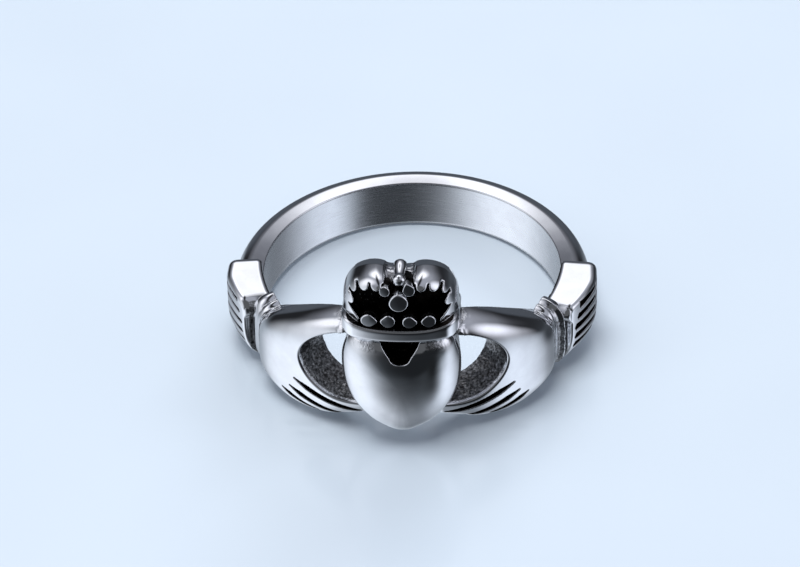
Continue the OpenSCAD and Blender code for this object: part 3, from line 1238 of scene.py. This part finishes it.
    def stem(self) -> tuple[Array, Array]:
        """Shape the stem, from its back end to the ball in front.

        Returns:
            Points and quads.
        """
        (y, z), (run, fall) = self.ball, self.ball_way
        ball = [
            (y + run * s, z + fall * s, math.sqrt(self.ball_square - s * s))
            for s in self.ball_steps
        ]
        rows = catmull((*self.stem_rows, *ball), 10)
        count = self.stem_sides
        turn = np.linspace(0, 2 * math.pi, count, endpoint=False)
        ahead = np.gradient(rows[:, :2], axis=0)
        ahead /= np.linalg.norm(ahead, axis=1, keepdims=True)
        up = np.stack([-ahead[:, 1], ahead[:, 0]], 1)
        up *= np.where(up[:, 1:] < 0, -1, 1)
        lift = rows[:, 2:] * np.sin(turn)
        y, z = (rows[:, k : k + 1] + up[:, k : k + 1] * lift for k in (0, 1))
        x = self.stem_breadth * rows[:, 2:] * np.cos(turn)
        points = np.stack([x, y, z], -1).reshape(-1, 3)
        ring = np.arange(len(rows) - 1)[:, None] * count
        a, b = ring + np.arange(count), ring + np.roll(np.arange(count), -1)
        return points, np.stack([a, b, b + count, a + count], -1).reshape(-1, 4)

    def build(self, material: Material) -> None:
        """Make the crown and its stem.

        Args:
            material: Steel of both.
        """
        super().build(material)
        stem = solid("crown_stem", *self.stem(), None, {})
        seal(stem.data)
        finish_piece(stem, material)


# ---- node trees


def node(
    tree: bpy.types.NodeTree,
    kind: str,
    settings: dict[str, object],
    sockets: dict[str | int, object],
) -> bpy.types.Node:
    """Add a node with its settings and links.

    Args:
        tree: Tree that gets the node.
        kind: Type of the node.
        settings: Properties of the node.
        sockets: Value or source socket of each input, by name or number.

    Returns:
        The node.
    """
    made = tree.nodes.new(kind)
    for key, value in settings.items():
        setattr(made, key, value)
    for key, value in sockets.items():
        if isinstance(value, bpy.types.NodeSocket):
            tree.links.new(value, made.inputs[key])
        else:
            made.inputs[key].default_value = value
    return made


def grow(tree: bpy.types.NodeTree, plan: Plan) -> None:
    """Add the nodes of a plan in their order.

    Args:
        tree: Tree that gets the nodes.
        plan: Name, kind, settings and sockets of each node. A socket that takes an earlier
            node's output gives that node's name and the output.
    """
    made: dict[object, bpy.types.Node] = {}
    for name, kind, settings, sockets in plan:
        given = {
            key: made[v[0]].outputs[v[1]] if isinstance(v, tuple) and v[0] in made else v
            for key, v in sockets.items()
        }
        made[name] = node(tree, kind, settings, given)


class NodeTree:
    """Geometry node tree that repeats a shape or sends it along a path."""

    def __init__(self, name: str, inputs: dict[str, tuple[str, object]]) -> None:
        """Start a tree with a geometry output and its named inputs.

        Args:
            name: Name of the tree.
            inputs: Kind of each input, and the value that the modifier gives it.
        """
        self.tree = bpy.data.node_groups.new(name, "GeometryNodeTree")
        ask = self.tree.interface.new_socket
        ask("Geometry", in_out="OUTPUT", socket_type="NodeSocketGeometry")
        self.values: dict[str, object] = {}
        for title, (kind, value) in inputs.items():
            socket = ask(title, in_out="INPUT", socket_type=f"NodeSocket{kind}")
            self.values[socket.identifier] = value

    def make(self, name: str, plan: Plan, material: Material) -> Mesh:
        """Grow the tree, run it once and return its result as a plain mesh.

        Args:
            name: Name of the mesh.
            plan: The tree's nodes, of which the last gives the shape.
            material: Material that the tree sets.

        Returns:
            The mesh, with its instances realised.
        """
        paint = {"Geometry": ("real", 0), "Material": ("given", "Finish")}
        ends = (
            ("real", "GeometryNodeRealizeInstances", {}, {"Geometry": (plan[-1][0], 0)}),
            ("paint", "GeometryNodeSetMaterial", {}, paint),
            ("result", "NodeGroupOutput", {}, {"Geometry": ("paint", 0)}),
        )
        grow(self.tree, (("given", "NodeGroupInput", {}, {}), *plan, *ends))
        host = new_object(f"{name}_maker", bpy.data.meshes.new(f"{name}_maker"))
        modifier = host.modifiers.new("maker", "NODES")
        modifier.node_group = self.tree
        for identifier, value in self.values.items():
            modifier[identifier] = value
        ready = host.evaluated_get(bpy.context.evaluated_depsgraph_get())
        mesh = bpy.data.meshes.new_from_object(ready)
        mesh.name = name
        host.modifiers.remove(modifier)
        bpy.data.objects.remove(host)
        mesh.materials.clear()
        mesh.materials.append(material)
        return mesh


@dataclass
class Shank:
    """Plain D shaped band from cuff to cuff, with a bevel beside the finger hole."""

    hole: FingerHole = FingerHole()
    width: float = 3.5
    thickness: float = 1.95
    bevel: float = 0.8
    fall: float = 0.14
    square: float = 2.3
    start: float = 76.0
    steps: int = 300

    def profile(self) -> Object:
        """Draw the closed section of the band.

        Returns:
            A curve with the radius over the inner wall across, and the height up.
        """
        half, n = self.width / 2, 2 / self.square
        a = np.radians(np.linspace(-90, 90, 61))
        outer = self.bevel + (self.thickness - self.bevel) * np.cos(a) ** n
        arch = half * np.sign(np.sin(a)) * np.abs(np.sin(a)) ** n
        t = np.linspace(0, 1, 14, endpoint=False)[1:]
        rise = half - self.fall * (1 - t) ** 1.1
        flat = np.linspace(half - self.fall, self.fall - half, 20)
        out = np.concatenate([outer, self.bevel * t[::-1], 0 * flat, self.bevel * t])
        up = np.concatenate([arch, rise[::-1], flat, -rise])
        curve = bpy.data.curves.new("shank_profile", "CURVE")
        curve.dimensions = "3D"
        spline = curve.splines.new("POLY")
        spline.points.add(len(out) - 1)
        spline.use_cyclic_u = True
        for point, across, height in zip(spline.points, out, up):
            point.co = (across * MM, height * MM, 0, 1)
        return new_object("shank_profile", curve)

    def build(self, material: Material) -> None:
        """Send the section round the back of the finger.

        Args:
            material: Steel of the band.
        """
        profile = self.profile()
        inputs = {
            "Radius": ("Float", self.hole.radius * MM),
            "Start angle": ("Float", math.radians(self.start - 90)),
            "Sweep angle": ("Float", math.radians(360 - 2 * self.start)),
            "Steps": ("Int", self.steps),
            "Section": ("Object", profile),
            "Finish": ("Material", material),
        }
        arc = {
            "Resolution": ("given", "Steps"),
            "Radius": ("given", "Radius"),
            "Start Angle": ("given", "Start angle"),
            "Sweep Angle": ("given", "Sweep angle"),
        }
        sweep = {
            "Curve": ("level", 0),
            "Profile Curve": ("section", "Geometry"),
            "Fill Caps": True,
        }
        plan = (
            ("arc", "GeometryNodeCurveArc", {"mode": "RADIUS"}, arc),
            ("level", "GeometryNodeSetCurveNormal", {"mode": "Z_UP"}, {"Curve": ("arc", 0)}),
            ("section", "GeometryNodeObjectInfo", {}, {"Object": ("given", "Section")}),
            ("shape", "GeometryNodeCurveToMesh", {}, sweep),
        )
        mesh = NodeTree("band along an arc", inputs).make("shank", plan, material)
        bpy.data.objects.remove(profile)
        seal(mesh)
        set_marks(mesh, {Mark.SATIN: self.hole.satin(mesh_points(mesh))})
        finish_piece(new_object("shank", mesh), material)


@dataclass(frozen=True)
class Bead:
    """Place, size and direction of one raised bead on the crown.

    Across and height are where its face sits, in millimetres. The sizes are its half length
    and half width, point is how far it is drawn to a point, and lean is the angle that its
    point makes with the way to the right, in degrees. Sunk is how far its face lies behind the
    row's.
    """

    across: float
    height: float
    size: Pair
    point: float = 0.0
    lean: float = 0.0
    sunk: float = 0.0


@dataclass
class Beading:
    """Flat faced beads of the crown, each a stud that is repeated at its places."""

    beads: tuple[Bead, ...] = (
        Bead(-1.77, 6.67, (0.53, 0.43), 0.4, 0),
        Bead(-0.67, 6.7, (0.48, 0.43), 0.4, 180),
        Bead(0.62, 6.66, (0.48, 0.42), 0.4, 0),
        Bead(1.71, 6.68, (0.48, 0.43), 0.3, 180),
        Bead(-0.01, 8.14, (0.58, 0.6), 0.15, 100),
        Bead(-0.84, 8.72, (0.37, 0.34), 0.3, 135, 0.35),
        Bead(0.57, 8.88, (0.46, 0.4), 0.4, 110, 0.35),
    )
    face: float = 12.5
    depth: float = 1.5
    columns: int = 48
    rim: float = 0.2
    # how far the middle of a face stands over its edge, as a share of half the depth
    swell: float = 0.02
    # how much the faces lean back, as a slope, so that they look over the board
    lean_back: float = 0.15
    # how far behind its face a bead's side starts to be black, and where it is all black
    black: Pair = (0.1, 0.2)
    # share by which the sizes differ at random, and the seed of it
    uneven: float = 0.03
    seed: int = 7

    def stud(self) -> Object:
        """Shape one bead of unit size: a flat face, a rounded rim and a foot in the metal.

        Returns:
            The stud, which looks to the front.
        """
        front, inner = self.swell - 1, 1 - self.rim
        rows = [(f * inner, self.swell * f * f - 1) for f in np.linspace(0.25, 1, 4)]
        for a in np.radians(np.linspace(10, 90, 9)):
            back = self.rim / self.depth * (1 - math.cos(a))
            rows.append((inner + self.rim * math.sin(a), front + back))
        rows += [(1.0, 0.0), (1.0, 1.0)]
        n = self.columns
        turn = np.linspace(0, 2 * math.pi, n, endpoint=False)
        ring = [(r * math.cos(a), d, r * math.sin(a)) for r, d in rows for a in turn]
        points = np.array([(0.0, -1.0, 0.0), *ring, (0.0, 1.0, 0.0)])
        last = len(points) - 1
        pairs = [(k, (k + 1) % n) for k in range(n)]
        faces = [(0, 1 + k, 1 + m) for k, m in pairs]
        for s in range(1, last - n, n):
            faces += [(s + k, s + n + k, s + n + m, s + m) for k, m in pairs]
        faces += [(last - n + m, last - n + k, last) for k, m in pairs]
        mesh = bpy.data.meshes.new("stud")
        mesh.from_pydata((points * MM).tolist(), [], faces)
        mesh.shade_smooth()
        return new_object("stud", mesh)

    def places(self) -> Object:
        """Put a point at each bead's middle, with its size and turn.

        Returns:
            An object of the points.
        """
        spots, sizes, turns = [], [], []
        for b in self.beads:
            reach = self.face - b.sunk - self.depth / 2
            spots.append(Vector((b.across, -math.sqrt(reach**2 - b.across**2), b.height)) * MM)
            sizes.append((b.size[0], self.depth / 2, b.size[1]))
            turns.append((0.0, -math.radians(b.lean), math.asin(b.across / reach)))
        mesh = bpy.data.meshes.new("places")
        mesh.from_pydata([tuple(s) for s in spots], [], [])
        for name, values in (("bead_size", sizes), ("bead_turn", turns)):
            layer = mesh.attributes.new(name, "FLOAT_VECTOR", "POINT")
            layer.data.foreach_set("vector", np.array(values, np.float32).ravel())
        return new_object("places", mesh)

    def build(self, material: Material) -> None:
        """Put a stud at each bead's place and keep the result as one piece.

        Args:
            material: Steel of the beads.
        """
        stud, places = self.stud(), self.places()
        inputs = {
            "Places": ("Object", places),
            "Bead": ("Object", stud),
            "Uneven": ("Float", self.uneven),
            "Seed": ("Int", self.seed),
            "Finish": ("Material", material),
        }
        thing, stored = "GeometryNodeObjectInfo", "GeometryNodeInputNamedAttribute"
        triple = {"data_type": "FLOAT_VECTOR"}
        random = {2: ("least", 0), 3: 1.0, "Seed": ("given", "Seed")}
        scaled = {0: ("size", "Attribute"), "Scale": ("uneven", 1)}
        put = {
            "Points": ("where", "Geometry"),
            "Instance": ("shape", "Geometry"),
            "Rotation": ("facing", 0),
            "Scale": ("scaled", "Vector"),
        }
        plan = (
            ("where", thing, {}, {"Object": ("given", "Places")}),
            ("shape", thing, {}, {"Object": ("given", "Bead")}),
            ("size", stored, triple, {"Name": "bead_size"}),
            ("turn", stored, triple, {"Name": "bead_turn"}),
            ("least", SUMS, {"operation": "SUBTRACT"}, {0: 1.0, 1: ("given", "Uneven")}),
            ("uneven", "FunctionNodeRandomValue", {"data_type": "FLOAT"}, random),
            ("scaled", VECTOR, {"operation": "SCALE"}, scaled),
            ("facing", "FunctionNodeEulerToRotation", {}, {0: ("turn", "Attribute")}),
            ("shape on places", "GeometryNodeInstanceOnPoints", {}, put),
        )
        mesh = NodeTree("beads on their places", inputs).make("crown_beads", plan, material)
        for spare in (stud, places):
            bpy.data.objects.remove(spare)
        black = self.draw_points(mesh)
        seal(mesh)
        set_marks(mesh, {Mark.TARNISH: black})
        finish_piece(new_object("crown_beads", mesh), material)

    def draw_points(self, mesh: Mesh) -> Array:
        """Narrow each bead towards its point and lean it back; its side stays black.

        Args:
            mesh: The mesh of all the beads, whose points are moved.

        Returns:
            The share of black at each point.
        """
        p = mesh_points(mesh)
        black = []
        for b, part in zip(self.beads, np.split(p, len(self.beads))):
            lean, angle = math.radians(b.lean), math.asin(b.across / self.face)
            c, s = math.cos(angle), math.sin(angle)
            along = np.array((math.cos(lean) * c, math.cos(lean) * s, math.sin(lean)))
            out = np.array((s, -c, 0.0))
            aside = np.cross(along, out)
            d = part - part.mean(0)
            narrow = b.point * ease(0.0, 1.0, d @ along / b.size[0])
            part -= np.outer(d @ aside * narrow, aside)
            black.append(ease(*self.black, self.face - b.sunk - part @ out))
            part -= np.outer(self.lean_back * d[:, 2], out)
        mesh.vertices.foreach_set("co", (p * MM).astype(np.float32).ravel())
        mesh.update()
        return np.concatenate(black)


# ---- finishes


def linear(code: str, level: float = 1.0) -> tuple[float, ...]:
    """Turn an sRGB hex code into a linear colour.

    Args:
        code: The hex code.
        level: Brightness that the colour is multiplied by.

    Returns:
        Red, green, blue and an alpha of one.
    """
    values = [int(code[i : i + 2], 16) / 255 for i in (1, 3, 5)]
    plain = [v / 12.92 if v <= 0.04045 else ((v + 0.055) / 1.055) ** 2.4 for v in values]
    return (*(level * v for v in plain), 1.0)


def per_mm(size: float) -> float:
    """Scale of a pattern on Object coordinates whose repeat is a size in millimetres."""
    return 1 / (size * MM)


def new_material(name: str, shader: dict[str, object], plan: Plan) -> Material:
    """Make a material of the nodes of a plan.

    Args:
        name: Name of the material.
        shader: Sockets of its shader.
        plan: Nodes that come before the shader.

    Returns:
        The material.
    """
    material = bpy.data.materials.new(name)
    material.use_nodes = True
    material.node_tree.nodes.clear()
    ends = (
        ("shader", "ShaderNodeBsdfPrincipled", {}, shader),
        ("result", "ShaderNodeOutputMaterial", {}, {"Surface": ("shader", 0)}),
    )
    grow(material.node_tree, (("spot", SPOT, {}, {}), *plan, *ends))
    return material


@dataclass(frozen=True)
class CastSteel:
    """Cast 316 stainless steel, tumbled and buffed, then blackened in its recesses.

    Buffing gives the eye a near mirror that is never quite flat, with hairline wheel marks.
    The inner wall is brushed round the finger. The recesses keep the grain of the mould and
    a black oxide that the buffing wheel could not reach.
    """

    name: str = "cast_316_steel_buffed_and_blackened"
    bright: str = "#E6E8EB"
    cloudy: str = "#DCDDE1"
    black: str = "#0A090A"
    brown: str = "#3A322B"
    polish: float = 0.06
    worn: float = 0.1
    brushed: float = 0.25
    cast: float = 0.17
    oxide: float = 0.42
    wave_mm: float = 2.2
    wave_depth_mm: float = 0.02
    # wheel marks are about 0.02 mm wide in truth, and are drawn coarser so that they show
    mark_mm: float = 0.12
    mark_depth_mm: float = 0.004
    grain_mm: float = 0.16
    grain_depth_mm: float = 0.035
    cloud_mm: float = 1.1
    # how much the noise of the wheel marks is squeezed along each axis
    squeeze: Triple = (0.12, 0.12, 1.0)

    def build(self) -> Material:
        """Make the material, driven by the marks stored on each piece.

        Returns:
            The material.
        """
        times, plus, scaled = (
            {"operation": kind} for kind in ("MULTIPLY", "ADD", "MULTIPLY_ADD")
        )
        spot, wheel = ("spot", "Object"), ("wheel", 0)
        tarnish, rough, satin = ((m.value, "Fac") for m in Mark)
        noises = [
            (name, NOISE, {}, {"Vector": source, "Scale": per_mm(size), "Detail": detail})
            for name, source, size, detail in (
                ("grain", spot, self.grain_mm, 3.0),
                ("fleck", spot, self.grain_mm * 0.8, 2.0),
                ("cloud", spot, self.cloud_mm, 2.0),
                ("wave", spot, self.wave_mm, 1.0),
                ("wheel", ("squeezed", 0), self.mark_mm, 2.0),
            )
        ]
        # from the shallowest form to the deepest, each over the one before
        wave = {"Strength": 0.35, "Distance": self.wave_depth_mm * MM, "Height": ("wave", 0)}
        lines = {"Strength": 0.25, "Distance": self.mark_depth_mm * MM, "Height": ("scratch", 0)}
        pits = {"Strength": 1.0, "Distance": self.grain_depth_mm * MM, "Height": ("mould", 0)}
        gleam = {"Value": wheel, 1: 0.4, 2: 0.75, 3: self.polish, 4: self.worn}
        oxide = {6: linear(self.black), 7: linear(self.brown)}
        steel = {6: linear(self.bright), 7: linear(self.cloudy)}
        blend = {"data_type": "FLOAT"}
        plan = (
            *((m.value, MARK, {"attribute_name": m.value}, {}) for m in Mark),
            # wheel marks run round the ring: the noise is squeezed along the finger
            ("squeezed", "ShaderNodeMapping", {}, {"Vector": spot, "Scale": self.squeeze}),
            *noises,
            # the black thins out in specks where the wheel touched the grain's tops
            ("uneven", SUMS, scaled, {0: ("grain", 0), 1: 0.5, 2: -0.25}),
            ("worn", SUMS, plus, {0: tarnish, 1: ("uneven", 0)}),
            ("black", RAMP, SMOOTH, {"Value": ("worn", 0), 1: 0.25, 2: 0.7}),
            ("flecks", RAMP, SMOOTH, {"Value": ("fleck", 0), 1: 0.62, 2: 0.74, 4: 0.1}),
            ("bared", SUMS, times, {0: ("flecks", 0), 1: rough}),
            ("kept", SUMS, scaled, {0: ("bared", 0), 1: -1.0, 2: 1.0}),
            ("covered", SUMS, times, {0: ("black", 0), 1: ("kept", 0)}),
            ("rust", RAMP, SMOOTH, {"Value": ("cloud", 0), 1: 0.45, 2: 0.7, 4: 0.6}),
            ("haze", RAMP, SMOOTH, {"Value": ("cloud", 0), 1: 0.35, 2: 0.7, 4: 0.6}),
            ("oxide", MIX, COLOUR, {0: ("rust", 0), **oxide}),
            ("steel", MIX, COLOUR, {0: ("haze", 0), **steel}),
            ("colour", MIX, COLOUR, {0: ("covered", 0), 6: ("steel", 2), 7: ("oxide", 2)}),
            ("polish", RAMP, SMOOTH, gleam),
            ("brush", SUMS, scaled, {0: satin, 1: self.brushed - self.polish, 2: ("polish", 0)}),
            ("sand", SUMS, scaled, {0: rough, 1: self.cast, 2: ("brush", 0)}),
            ("gloss", MIX, blend, {0: ("covered", 0), 2: ("sand", 0), 3: self.oxide}),
            ("ripple", BUMP, {}, wave),
            ("depth", SUMS, scaled, {0: satin, 1: 3.0, 2: 0.4}),
            ("scratch", SUMS, times, {0: wheel, 1: ("depth", 0)}),
            ("lines", BUMP, {}, {**lines, "Normal": ("ripple", 0)}),
            ("mould", SUMS, times, {0: ("grain", 0), 1: rough}),
            ("pits", BUMP, {}, {**pits, "Normal": ("lines", 0)}),
        )
        shader = {"Base Color": ("colour", 2), "Metallic": 1.0, "Roughness": ("gloss", 0)}
        return new_material(self.name, {**shader, "Normal": ("pits", 0)}, plan)


@dataclass(frozen=True)
class LacquerTop:
    """Pale blue lacquered board that the ring lies on: soft sheen, no grain."""

    name: str = "pale_blue_lacquered_board"
    colour: str = "#C4D0DC"
    paler: str = "#C9D5E0"
    sheen: float = 0.16
    index: float = 1.5
    cloud_mm: float = 14.0

    def build(self) -> Material:
        """Make the material.

        Returns:
            The material.
        """
        cloud = {"Vector": ("spot", "Object"), "Scale": per_mm(self.cloud_mm), "Detail": 1.0}
        tints = {0: ("cloud", 0), 6: linear(self.colour), 7: linear(self.paler)}
        plan = (("cloud", NOISE, {}, cloud), ("colour", MIX, COLOUR, tints))
        shader = {"Base Color": ("colour", 2), "Roughness": self.sheen, "IOR": self.index}
        return new_material(self.name, shader, plan)


# ---- studio


@dataclass(frozen=True)
class SoftCard:
    """Soft bright card or dark flag on the studio's walls, which the steel reflects.

    Azimuth and elevation say where its middle is, in degrees: 0 is in front of the heart, and
    the right is positive. The reach is its half size along each axis, at a distance of one.
    It fades out over the outer share that soft gives.
    """

    azimuth: float
    elevation: float
    reach: Triple
    soft: float
    colour: str
    level: float

    def rows(self, title: str, under: str) -> Plan:
        """Nodes that lay the card over what is under it.

        Args:
            title: Name of the node that ends them.
            under: Name of the node with the tones under it.

        Returns:
            The rows of a plan.
        """
        a, e = math.radians(self.azimuth), math.radians(self.elevation)
        aim = (math.cos(e) * math.sin(a), -math.cos(e) * math.cos(a), math.sin(e))
        away, size, far, share = (f"{title} {part}" for part in ("away", "size", "far", "share"))
        shrink = tuple(1 / r for r in self.reach)
        tone = linear(self.colour, self.level)
        return [
            (away, VECTOR, {"operation": "SUBTRACT"}, {0: ("way", "Generated"), 1: aim}),
            (size, VECTOR, {"operation": "MULTIPLY"}, {0: (away, 0), 1: shrink}),
            (far, VECTOR, {"operation": "LENGTH"}, {0: (size, 0)}),
            (share, RAMP, SMOOTH, {"Value": (far, "Value"), 1: 1.0, 2: 1 - self.soft}),
            (title, MIX, COLOUR, {0: (share, 0), 6: (under, 2), 7: tone}),
        ]


@dataclass(frozen=True)
class SoftLamp:
    """Soft rectangular light, aimed at the ring, with its place and size in millimetres."""

    name: str
    spot: Triple
    size: Pair
    watts: float
    colour: str

    def build(self) -> None:
        """Make the light."""
        data = bpy.data.lights.new(self.name, "AREA")
        data.shape = "RECTANGLE"
        data.size, data.size_y = (v * MM for v in self.size)
        data.energy = self.watts
        data.color = linear(self.colour)[:3]
        lamp = new_object(self.name, data)
        # the cards give the steel its reflections, so the lamps stay out of them
        lamp.visible_glossy = False
        at = Vector(self.spot) * MM
        turn = at.to_track_quat("Z", "Y").to_matrix().to_4x4()
        lamp.matrix_world = Matrix.Translation(at) @ turn


@dataclass(frozen=True)
class Studio:
    """Pale board, soft lights, dark walls and the camera of the photograph."""

    # camera place in millimetres, and the angles of its fit in degrees
    elevation: float = 36.6
    yaw: float = -4.1
    roll: float = -1.5
    distance: float = 300.0
    focal_px: float = 4674.0
    centre_px: Pair = (412.6, 289.3)
    size_px: tuple[int, int] = (800, 567)
    sensor: float = 36.0
    # half the board, its gap under the ring, and how far from the axis the ring's feet lie
    board_half: float = 900.0
    board_gap: float = 0.01
    feet: float = 2.0
    tries: int = 40
    clip: Pair = (0.01, 10.0)
    # levels of the board, of the dark wall round the horizon and of the ceiling
    board_level: float = 0.49
    wall_level: float = 0.023
    ceiling_level: float = 0.49
    board_tint: str = "#E3F0FF"
    wall_tint: str = "#ECF0FF"
    # heights at which the board and the ceiling start and are full, as sines
    board_rise: Pair = (0.1, -0.33)
    ceiling_rise: Pair = (0.3, 0.96)
    lamps: tuple[SoftLamp, ...] = (
        SoftLamp("overhead", (-60, -40, 420), (260, 200), 1.45, "#FFFFFF"),
        SoftLamp("rear", (120, 380, 260), (320, 160), 0.9, "#F4F8FF"),
    )
    cards: tuple[SoftCard, ...] = (
        # the bright table behind the ring, and its dimmer part in front and below
        SoftCard(-177, -88, (1.37, 0.88, 0.38), 0.24, "#E7F2FF", 1.09),
        SoftCard(9, -55, (0.76, 1.39, 0.37), 0.37, "#E3F0FF", 0.22),
        # windows on the left and right, with the table that they light
        SoftCard(-60, 7, (0.89, 1.23, 0.76), 0.89, "#F1F6FF", 1.01),
        SoftCard(-74, -39, (1.27, 0.98, 0.7), 0.9, "#EDF4FF", 1.3),
        SoftCard(91, -31, (1.32, 0.83, 0.6), 0.78, "#E8F1FF", 1.67),
        SoftCard(76, 27, (0.41, 0.59, 0.92), 0.9, "#F1F3FF", 1.4),
        SoftCard(-83, 46, (0.52, 0.47, 0.76), 0.71, "#F7F8FF", 1.31),
        # dark wall behind, and the softbox over it
        SoftCard(-175, 1, (0.79, 0.22, 0.89), 0.4, "#DFEBFF", 0.12),
        SoftCard(-172, 62, (0.46, 0.36, 0.78), 0.68, "#F8F9FF", 1.78),
        # the camera's shade overhead and in front, with a sharper edge on the right
        SoftCard(-22, 83, (0.25, 1.15, 0.41), 0.69, "#F1F3FF", 0.04),
        SoftCard(13, -14, (1.38, 0.76, 1.13), 0.82, "#E4F0FF", 0.02),
        SoftCard(1, 44, (0.45, 0.31, 0.93), 0.15, "#F4F8FF", 0.12),
        SoftCard(33, -26, (0.25, 0.54, 0.7), 0.9, "#E7F2FF", 0.02),
        SoftCard(126, -18, (0.98, 1.35, 0.83), 0.9, "#E1EDFF", 0.07),
    )

    def camera(self) -> None:
        """Make the camera at the photograph's angle and set it as the scene's own."""
        e, roll, turn = (math.radians(v) for v in (self.elevation, self.roll, -self.yaw))
        back = Vector((0, -math.cos(e), math.sin(e)))
        across = Vector((1, 0, 0))
        up = back.cross(across)
        c, s = math.cos(roll), math.sin(roll)
        across, up = c * across + s * up, c * up - s * across
        spin = Matrix.Rotation(turn, 3, "Z")
        data = bpy.data.cameras.new("camera")
        data.sensor_fit = "HORIZONTAL"
        data.sensor_width = self.sensor
        width, height = self.size_px
        data.lens = self.focal_px / width * self.sensor
        data.shift_x = (width / 2 - self.centre_px[0]) / width
        data.shift_y = (self.centre_px[1] - height / 2) / width
        data.clip_start, data.clip_end = self.clip
        camera = new_object("camera", data)
        axes = Matrix([spin @ across, spin @ up, spin @ back]).transposed()
        camera.matrix_world = Matrix.Translation(spin @ back * self.distance * MM) @ axes.to_4x4()
        bpy.context.scene.camera = camera

    def board(self, pieces: Sequence[Object]) -> None:
        """Make the board under the ring, at the slope on which it rests by itself.

        Args:
            pieces: The ring's pieces.
        """
        p = np.vstack([mesh_points(o.data)[:, 1:] for o in pieces])
        front, rear = p[p[:, 0] < -self.feet], p[p[:, 0] > self.feet]
        slope = 0.0
        for _ in range(self.tries):
            a, b = (q[np.argmin(q[:, 1] - slope * q[:, 0])] for q in (front, rear))
            slope = (b[1] - a[1]) / (b[0] - a[0])
        level = a[1] - slope * a[0] - self.board_gap
        log.info("board: slope %.2f degrees", math.degrees(math.atan(slope)))
        r = self.board_half
        corners = [(-r, -r), (r, -r), (r, r), (-r, r)]
        rows = [Vector((x, y, level + slope * y)) * MM for x, y in corners]
        mesh = bpy.data.meshes.new("board")
        mesh.from_pydata(rows, [], [(0, 1, 2, 3)])
        board = new_object("board", mesh)
        mesh.materials.append(LacquerTop().build())
        # the steel sees the walls' cards under the horizon instead of the board
        board.visible_glossy = False

    def sky(self) -> None:
        """Make the world round the ring: its board, wall and ceiling, with the cards over them."""
        world = bpy.data.worlds.new("studio_walls")
        bpy.context.scene.world = world
        world.use_nodes = True
        world.node_tree.nodes.clear()
        (board0, board1), (ceiling0, ceiling1) = self.board_rise, self.ceiling_rise
        wall = linear(self.wall_tint, self.wall_level)
        board = linear(self.board_tint, self.board_level)
        ceiling = linear(self.wall_tint, self.ceiling_level)
        height = ("height", "Z")
        plan = [
            ("way", SPOT, {}, {}),
            ("height", "ShaderNodeSeparateXYZ", {}, {0: ("way", "Generated")}),
            ("down", RAMP, SMOOTH, {"Value": height, 1: board0, 2: board1}),
            ("up", RAMP, SMOOTH, {"Value": height, 1: ceiling0, 2: ceiling1}),
            ("low", MIX, COLOUR, {0: ("down", 0), 6: wall, 7: board}),
            ("base", MIX, COLOUR, {0: ("up", 0), 6: ("low", 2), 7: ceiling}),
        ]
        for i, card in enumerate(self.cards):
            plan += card.rows(f"card {i}", plan[-1][0])
        plan += [
            ("shine", "ShaderNodeBackground", {}, {"Color": (plan[-1][0], 2)}),
            ("result", "ShaderNodeOutputWorld", {}, {"Surface": ("shine", 0)}),
        ]
        grow(world.node_tree, plan)

    def build(self, pieces: Sequence[Object]) -> None:
        """Make the whole studio.

        Args:
            pieces: The ring's pieces, which the board carries.
        """
        self.camera()
        self.board(pieces)
        self.sky()
        for lamp in self.lamps:
            lamp.build()
        # hex colours and soft cards are meant as they are, with no film curve over them
        bpy.context.scene.view_settings.view_transform = "Standard"


def main() -> None:
    """Build every piece of the ring and its studio, and note the sizes."""
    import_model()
    steel = CastSteel().build()
    hole = FingerHole()
    heart, crown = Heart(hole), Crown(hole)
    Shank(hole).build(steel)
    for side in Side:
        Cuff(hole, side).build(steel)
        Hand(hole, side, heart=heart.body, crown=crown.body).build(steel)
    heart.build(steel)
    crown.build(steel)
    Beading().build(steel)
    pieces = [o for o in bpy.context.scene.objects if o.get("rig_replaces")]
    Studio().build(pieces)
    log.info("%d pieces", len(pieces))


if __name__ == "__main__":
    main()
